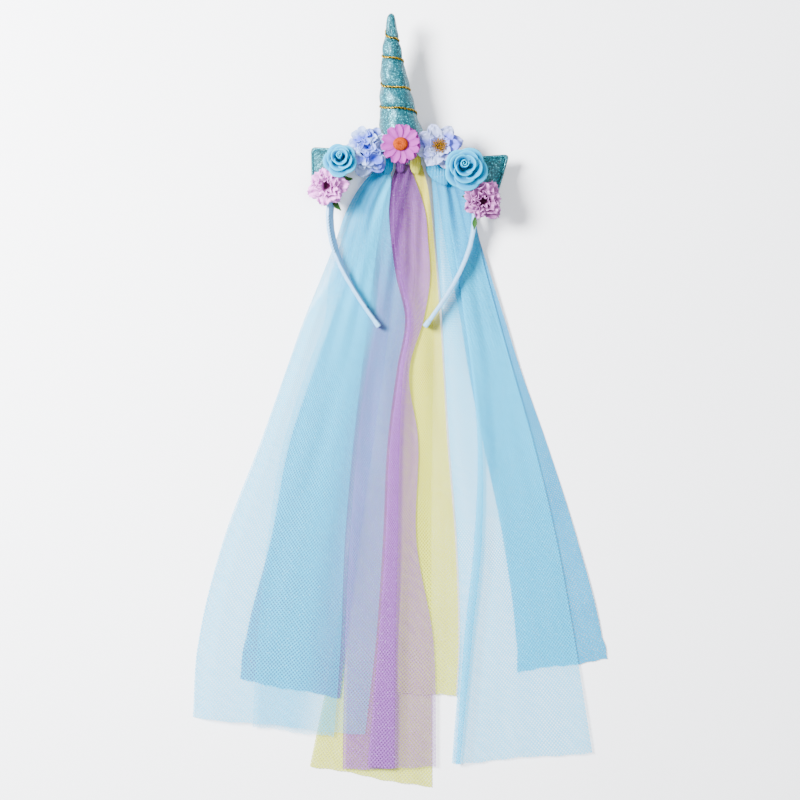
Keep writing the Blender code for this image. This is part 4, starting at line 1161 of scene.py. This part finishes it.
def hydrangea_petals():
    """Small round petals in whorls of four over a dome, on a skirt of wide petals, three of which
    reach over the veil."""
    patches = [neck((3.6, 0.0), (3.0, 3.0), (4.4, 7.0), (6.0, 9.0))]
    wide = dict(root=0.35, trough=0.08, ruffle=0.8 * MM, waves=1.6, crease=0.3 * MM)
    patches += whorl(7, 0.35, 2.6, 6.0, 4, 7, 0.1, size=13.0 * MM, width=12.0 * MM, **wide)
    for heading, size, width in ((-108, 21.0, 17.0), (-62, 19.0, 15.5), (-140, 15.5, 12.0)):
        points = petal(size * MM, width * MM, lift=-0.03, curl=-0.06, **wide)
        patches.append(grid(moved(points, turned(heading, "Z") @ shifted(2.6, 0, 5.2))))
    small = dict(size=8.4 * MM, width=8.2 * MM, root=0.4, trough=0.16, ruffle=0.5 * MM, crease=0.25 * MM)
    florets = [(0.0, 0.0)] + [(7.4, 0.3 + i * 0.4 * math.pi) for i in range(5)]
    florets += [(10.4, i * math.pi / 3) for i in range(6)]
    for i, (away, turn) in enumerate(florets):
        place = shifted(away, 0, 13.3 - 0.045 * away**2) @ turned(3.4 * away, "Y")
        place = Matrix.Rotation(turn, 4, "Z") @ place
        for points, quads, uv in whorl(4, 0.7 * i, 0.5, 0.0, 26, 20 + i, 0.16, **small):
            patches.append((moved(points, place), quads, uv))
    return patches


class HEADBAND_OT_carnations(bpy.types.Operator):
    """Make the two ruffled carnations"""

    bl_idname = "headband.carnations"
    bl_label = "Carnations"

    def execute(self, context):
        settings = context.scene.headband_flowers
        base, rim = settings.carnation_base, settings.carnation_rim
        pale = petal_cloth("carnation_pale", base, darker(rim, 1.4), (0.24, 0.8))
        deep = petal_cloth("carnation_deep", base, darker(rim, 0.9), (0.36, 0.98))
        for name, cloth, seed in (("carnation_left", pale, 40), ("carnation_right", deep, 60)):
            patches = [neck((4.0, 0.0), (3.0, 3.0), (4.2, 6.0), (7.0, 7.4))]
            patches += whorls(CARNATION_WHORLS, seed, 0.26, root=0.3, teeth=0.04, ruffle=2.0 * MM, waves=2.2,
                              trough=0.12, curl=-0.1, columns=15)
            bloom(name + "_bloom", patches, seat(name), cloth, PETAL_WALL, "carnation_mauve", name)
        return {"FINISHED"}


def cup(foot, radius, floor, height, span, start, tuck, curl):
    """A rose petal that wraps round the middle. Its angle runs with u. Its radius grows from
    the foot with v, less at its sides, and one side is tucked in. Its height grows with v and
    drops with u squared at both sides, and its lip curls outwards and down."""
    v, u = steps_down(0, 1, 18), steps_across(-1, 1, 27)
    lip = smooth((v - 0.78) / 0.22)
    middle = 1 - 0.3 * u**2 + 0.05 * (1 - np.abs(u)) ** 2
    r = foot + (radius - foot) * v**0.9 * middle + tuck * u * v + curl * lip * (1 - 0.6 * u**2)
    z = floor + (height - floor) * v**1.1 * (1 - 0.32 * np.abs(u) ** 2.2) - 0.8 * curl * lip**2
    return turned_points(r, start + span * u, z)


def rose_petals(radius, height, turn, middle):
    """Rings of overlapping cups, and a sheet rolled up in the middle, which stands aside from
    the flower's own middle. Its sizes are in millimetres."""
    aside = np.array([*middle, 0.0]) * MM
    patches = [neck((ROSE_FOOT, 0.0), (3.4, 0.25 * height), (0.36 * radius, 0.44 * height),
                    (0.7 * radius, 0.52 * height))]
    radius, height = radius * MM, height * MM
    for i, (foot, size, floor, top, count, curl) in enumerate(ROSE_RINGS):
        for k in range(count):
            start = turn + 2.1 * i + 2 * math.pi * (k + 0.08 * math.sin(5 * k + turn)) / count
            sheet = cup(foot * radius, size * radius, floor * height, top * height,
                        0.74 * 2 * math.pi / count, start, 0.1 * size * radius, curl * MM)
            patches.append(grid(sheet + aside * (0.95 - size)))
    v, u = steps_down(0, 1, 10), steps_across(0, 1, 90)
    angle = turn + 3.4 * np.pi * u
    z = height * (0.64 + 0.36 * v) - ROSE_BUD_WAVE * np.sin(3 * angle) * v
    patches.append(grid(turned_points((0.04 + 0.17 * u) * radius, angle, z) + aside * 0.8))
    return patches


class HEADBAND_OT_roses(bpy.types.Operator):
    """Make the two foam roses"""

    bl_idname = "headband.roses"
    bl_label = "Roses"

    def execute(self, context):
        settings = context.scene.headband_flowers
        soft = foam("rose_foam_sheet", settings.rose, settings.rose_rim)
        for name, sizes in ROSES.items():
            bloom(name + "_bloom", rose_petals(*sizes), seat(name), soft, FOAM_WALL, "rose_foam", name)
        return {"FINISHED"}


class HEADBAND_OT_leaves(bpy.types.Operator):
    """Make the four small leaves"""

    bl_idname = "headband.leaves"
    bl_label = "Leaves"

    def execute(self, context):
        green = context.scene.headband_flowers.leaf
        cloth = petal_cloth("leaf_cloth", darker(green, 0.6), green, (0.1, 0.6))
        for name, (place, size, width, heading) in LEAVES.items():
            blade = petal(1.3 * size * MM, width * MM, rows=16, columns=13, root=0.3, peak=0.5, taper=0.75,
                          round_tip=0.1, curl=-0.04, lift=0.06, trough=0.1, crease=0.4 * MM)
            at = shifted(*place) @ turned(heading, "Z") @ shifted(-0.3 * size, 0, 0)
            bloom(name + "_blade", [grid(blade)], at, cloth, LEAF_WALL, "leaf_green", name)
        return {"FINISHED"}


# Knots and veil

def tone_of(name):
    """A knot's or tail's tone, which is the second word of its name, and that tone's net."""
    tone = name.split("_")[1]
    return tone, bpy.data.materials["tulle_" + tone + "_net"]


def softened(values):
    """Values round a closed ring, each as the mean of nine neighbours, as a column."""
    beyond = np.concatenate([values[-5:-1], values, values[1:5]])
    return np.convolve(beyond, np.ones(9) / 9, "valid")[:, None]


def knot_surface(name):
    """A ring of gathered tulle round the band, and its crowding, which makes its colour deeper in the hollows
    between its folds than on their ridges. Its profile goes smoothly round the strip and sags on the inner
    side; along the band it is a pillow, with folds that run round the ring."""
    angle, size, gathers = KNOTS[name]
    table = np.array(KNOT_ROUND + KNOT_ROUND[:1])
    places = np.linspace(0, 1, len(table))
    v = np.linspace(0, 1, 121)
    out, up, rise, hang, share = (softened(np.interp(v, places, column)) for column in table.T)
    v = v[:, None]
    u = np.concatenate([np.linspace(-1, 1, 41), np.linspace(0.9, -1, 6)])[None, :]
    outer = np.concatenate([np.ones(41), np.zeros(6)])[None, :]
    pillow = outer * (1 - np.abs(u) ** 2.6) ** 0.5
    fold = np.abs(np.cos(0.9 * gathers * np.pi * u + 0.9 * np.sin(4 * np.pi * v) + gathers)) ** 0.6
    fine = 0.5 + 0.5 * np.sin(5.3 * gathers * np.pi * u + 3.0 * np.sin(2 * np.pi * v))
    s = math.radians(angle) * BAND_RADIUS + u * share * size / 2
    half, front = BAND_THICKNESS / 2 + KNOT_GAP, strip_width(s) / 2 + KNOT_GAP
    skin = (KNOT_SKIN + KNOT_FOLD * fold + KNOT_CREASE * fine) * pillow
    bow = (share * size) ** 2 / (8 * BAND_RADIUS)
    away = out * half + np.clip(out, 0, 1) * (skin + bow)
    points = on_band(s, away, up * front + rise * skin)
    points[..., 1] -= (KNOT_PUFF - 1.0 * MM) * hang * (0.66 + 0.34 * pillow - 0.02 * fold * outer)
    return grid(points, (size * 2.5, 60 * MM)), 1.0 - 0.2 * fold * (0.7 + 0.3 * fine)


class HEADBAND_OT_knots(bpy.types.Operator):
    """Make the gathered knots that tie the tails to the band"""

    bl_idname = "headband.knots"
    bl_label = "Knots"

    def execute(self, context):
        settings = context.scene.headband_veil
        for tone in TONES:
            flat, crowded = getattr(settings, tone), getattr(settings, tone + "_deep")
            tulle("tulle_" + tone + "_net", flat, crowded, settings.net)
        for name in KNOTS:
            tone, net = tone_of(name)
            patch, crowding = knot_surface(name)
            values = {"cover": np.ones(crowding.size), "crowding": crowding}
            knot = closed(mesh_from(name + "_wrap", patch, net, values))
            fitted(knot, "tulle_" + tone, name)
        return {"FINISHED"}


def at_rows(values, down):
    """Shares of the veil's half width at the rows, as distances at any place down the veil."""
    return spline(down, ROWS, values) * VEIL_HALF_WIDTH


def edges(name, down):
    """A tail's left and right edges."""
    return [at_rows(values, down) for values in TAILS[name][4:]]


def shared_folds(x, down, settings):
    """Heights of the folds that all the tails share: sines of the place between the veil's
    outer edges, high at the knots and low towards the hems."""
    row = np.minimum(down, ROWS[-1])
    left = edges("tulle_blue_left_upper", row)[0]
    right = edges("tulle_blue_right_lower", row)[1]
    place = (x - left) / (right - left)
    height = wave(7, place, 1.0) + 0.7 * wave(12, place, 3 * down)
    height = 0.5 + 0.29 * height * wave(2.3, down, 4 * place + 0.5)
    return height * (settings.ripple + settings.fold * (1 - smooth(down / 0.5)))


def across_tail(name, u, row):
    """Places across a tail, their heights over its lowest layer, and its flat width. Where it
    has a Z-fold, u runs from the left edge to the fold's right edge b, back to its left edge a,
    and on to the right edge."""
    left, right = edges(name, row)
    if name not in PLEATS:
        return left + (right - left) * u, np.zeros_like(row), right - left
    step, *folded = PLEATS[name]
    a, b = (at_rows(values, row) for values in folded)
    first, second, wide = np.cumsum([b - left, b - a, right - a], axis=0)
    run = u * wide
    x = np.where(run < first, left + run, np.where(run < second, b - (run - first), a + (run - second)))
    layer = smooth((run - first) / PLEAT_BEND + 0.5) + smooth((run - second) / PLEAT_BEND + 0.5)
    return x, step * layer * (1 - smooth((x - b) / PLEAT_REACH) * (layer > 1.5)), wide


def fine_gathers(u, v, down, seed):
    """Heights of the fine gathers from -1 to 1: uneven sines of u that grow flatter downwards."""
    warped = u + 0.016 * wave(2, u, seed) + 0.007 * wave(7, u, 2 * seed + 3 * v)
    gathers = 0.6 * wave(GATHERS, warped) + 0.5 * wave(0.57 * GATHERS, warped, seed)
    return gathers * (0.6 + 0.4 * wave(4.3, u, 2 * seed)) * (1 - 0.85 * smooth((down - 0.12) / 0.4))


def streaks(u, v, seed):
    """Denser and thinner streaks down a tail that spread from the knot, as a factor near 1."""
    rng = np.random.default_rng(seed)
    total = 0.0
    for count in (3, 5, 8, 12):
        phase, drift = rng.uniform(0, 2 * np.pi), rng.uniform(-1.0, 1.0)
        total = total + wave(count, u, phase + 2 * drift * v) / count**0.6
    return 1 + 0.24 * total / 2.2 * (1 - 0.6 * smooth(v / 0.8))


def tail_cover(name, settings, u, v, down, ratio, seed):
    """How much a tail hides. Where the net is gathered to a share of its flat width, its layers
    hide what 1 - (1 - cover) to the power of that share leaves. Its two edges hide more."""
    crowding = ratio ** (0.9 - 0.5 * smooth(down / 0.35))
    crowding = crowding * (1 - (1 - THINNER.get(name, 1.0)) * smooth((u - 0.55) / 0.2))
    hidden = 1 - (1 - settings.cover) ** (PLIES[name] * crowding * streaks(u, v, seed))
    edge = np.maximum(1 - u / EDGE_SHARE, 1 - (1 - u) / EDGE_SHARE).clip(0, 1)
    return np.clip(hidden * (1 + 0.5 * edge), 0.0, MOST_COVER)


def tail_surface(name, settings, seed):
    """A sheet of tulle, how much it hides, and its flat size. Across it u runs from the left
    edge to the right edge, and down it v runs from the knot to the hem."""
    level, edge_down, hem = TAILS[name][1:4]
    v, u = steps_down(0, 1, TAIL_ROWS), steps_across(0, 1, TAIL_COLUMNS)
    uneven = 0.0013 * wave(1.6, u, 2 * seed) + 0.0007 * wave(5.7, u, 3 * seed)
    end = hem[0] + (hem[1] - hem[0]) * u + uneven
    down = v**1.15 * end
    last = ROWS[-2]
    row = np.where(down < last, down, last + (ROWS[-1] - last) * (down - last) / (end - last))
    x, height, wide = across_tail(name, u, row)
    flat = (float(wide[-1].mean()), float((VEIL_LENGTH * end).mean()))
    ratio = np.clip(flat[0] / np.maximum(wide, 1 * MM), 1.0, MOST_GATHERED)
    slope = np.sqrt(2 * (np.minimum(ratio, 3.2) ** 2 - 1))
    depth = np.minimum(slope * wide / (2 * np.pi * GATHERS), settings.gather)
    fallen = (1 - smooth(u / FREE_EDGE)) * smooth((down - FREE_ROW) / FREE_FALL) * level if edge_down else 0.0
    z = VEIL_LIFT * np.interp(down, ROWS, DRAPE) + LAYER * (level - fallen) + settings.gather + UNDERSIDE
    z = z + height + depth * fine_gathers(u, v, down, seed) + shared_folds(x, down, settings)
    points = np.stack([CENTRE[0] + x, CENTRE[1] + VEIL_TOP - VEIL_LENGTH * down, z], axis=-1)
    return grid(points, flat), tail_cover(name, settings, u, v, down, ratio, seed), flat


class HEADBAND_OT_veil(bpy.types.Operator):
    """Make the eight tails of tulle"""

    bl_idname = "headband.veil"
    bl_label = "Veil"

    def execute(self, context):
        settings = context.scene.headband_veil
        for seed, name in enumerate(TAILS):
            tone, net = tone_of(name)
            patch, cover, flat = tail_surface(name, settings, seed)
            made = mesh_from(name + "_net", patch, net, {"cover": cover, "crowding": cover})
            fitted(made, "tulle_" + tone, name)
        return {"FINISHED"}


# Stage

class HEADBAND_OT_stage(bpy.types.Operator):
    """Make the floor, the lights and the camera"""

    bl_idname = "headband.stage"
    bl_label = "Stage"

    def execute(self, context):
        settings = context.scene.headband_stage
        finish = Finish("pale_floor", Roughness=0.85, Specular_IOR_Level=0.2)
        cloud = finish.vary(finish.noise(finish.place("Object"), 2.2), 0.0, 1.0)
        finish.link(finish.mix(cloud, darker(settings.floor, 0.97), settings.floor), "Base Color")
        sides = np.array([-FLOOR_HALF, FLOOR_HALF])
        corners = points_of(sides[None, :], sides[:, None], -FLOOR_DROP)
        mesh_from("floor", grid(corners, (2 * FLOOR_HALF, 2 * FLOOR_HALF)), finish.material)
        for name, (place, width, share) in LIGHTS.items():
            self.light(name, place, width, share * settings.key)
        world = bpy.data.worlds.new("studio")
        world.use_nodes = True
        sky = world.node_tree.nodes["Background"].inputs
        sky["Color"].default_value = SKY
        sky["Strength"].default_value = SKY_STRENGTH
        context.scene.world = world
        camera = bpy.data.objects.new("camera", bpy.data.cameras.new("camera"))
        camera.data.lens = settings.lens
        camera.data.sensor_width = SENSOR_WIDTH
        camera.location = (0.0, settings.camera_shift, settings.camera_height)
        context.scene.collection.objects.link(camera)
        context.scene.camera = camera
        return {"FINISHED"}

    def light(self, name, place, width, power):
        """A disk of light that faces the middle of the scene."""
        lamp = bpy.data.lights.new(name, "AREA")
        lamp.shape = "DISK"
        lamp.size = width
        lamp.energy = power
        made = bpy.data.objects.new(name, lamp)
        made.location = place
        made.rotation_euler = (-Vector(place)).to_track_quat("-Z", "Y").to_euler()
        bpy.context.scene.collection.objects.link(made)


# Panel and registration

MAKERS = ("band", "horn", "ears", "daisy", "anemone", "hydrangea", "carnations", "roses", "leaves",
          "knots", "veil", "stage")
GROUPS = {"headband_band": BandSettings, "headband_horn": HornSettings, "headband_flowers": FlowerSettings,
          "headband_veil": VeilSettings, "headband_stage": StageSettings}


class HEADBAND_PT_panel(bpy.types.Panel):
    bl_idname = "HEADBAND_PT_panel"
    bl_label = "Headband"
    bl_space_type = "VIEW_3D"
    bl_region_type = "UI"
    bl_category = "Headband"

    def draw(self, context):
        for maker in MAKERS:
            self.layout.operator("headband." + maker)
        for group in GROUPS:
            for key in getattr(context.scene, group).bl_rna.properties.keys()[2:]:
                self.layout.prop(getattr(context.scene, group), key)


CLASSES = (*GROUPS.values(), HEADBAND_OT_band, HEADBAND_OT_horn, HEADBAND_OT_ears, HEADBAND_OT_daisy,
           HEADBAND_OT_anemone, HEADBAND_OT_hydrangea, HEADBAND_OT_carnations, HEADBAND_OT_roses,
           HEADBAND_OT_leaves, HEADBAND_OT_knots, HEADBAND_OT_veil, HEADBAND_OT_stage, HEADBAND_PT_panel)


def register():
    for each in CLASSES:
        bpy.utils.register_class(each)
    for name, group in GROUPS.items():
        setattr(bpy.types.Scene, name, bpy.props.PointerProperty(type=group))


def unregister():
    for name in GROUPS:
        delattr(bpy.types.Scene, name)
    for each in reversed(CLASSES):
        bpy.utils.unregister_class(each)


def main():
    register()
    for maker in MAKERS:
        getattr(bpy.ops.headband, maker)()


if __name__ == "__main__":
    main()
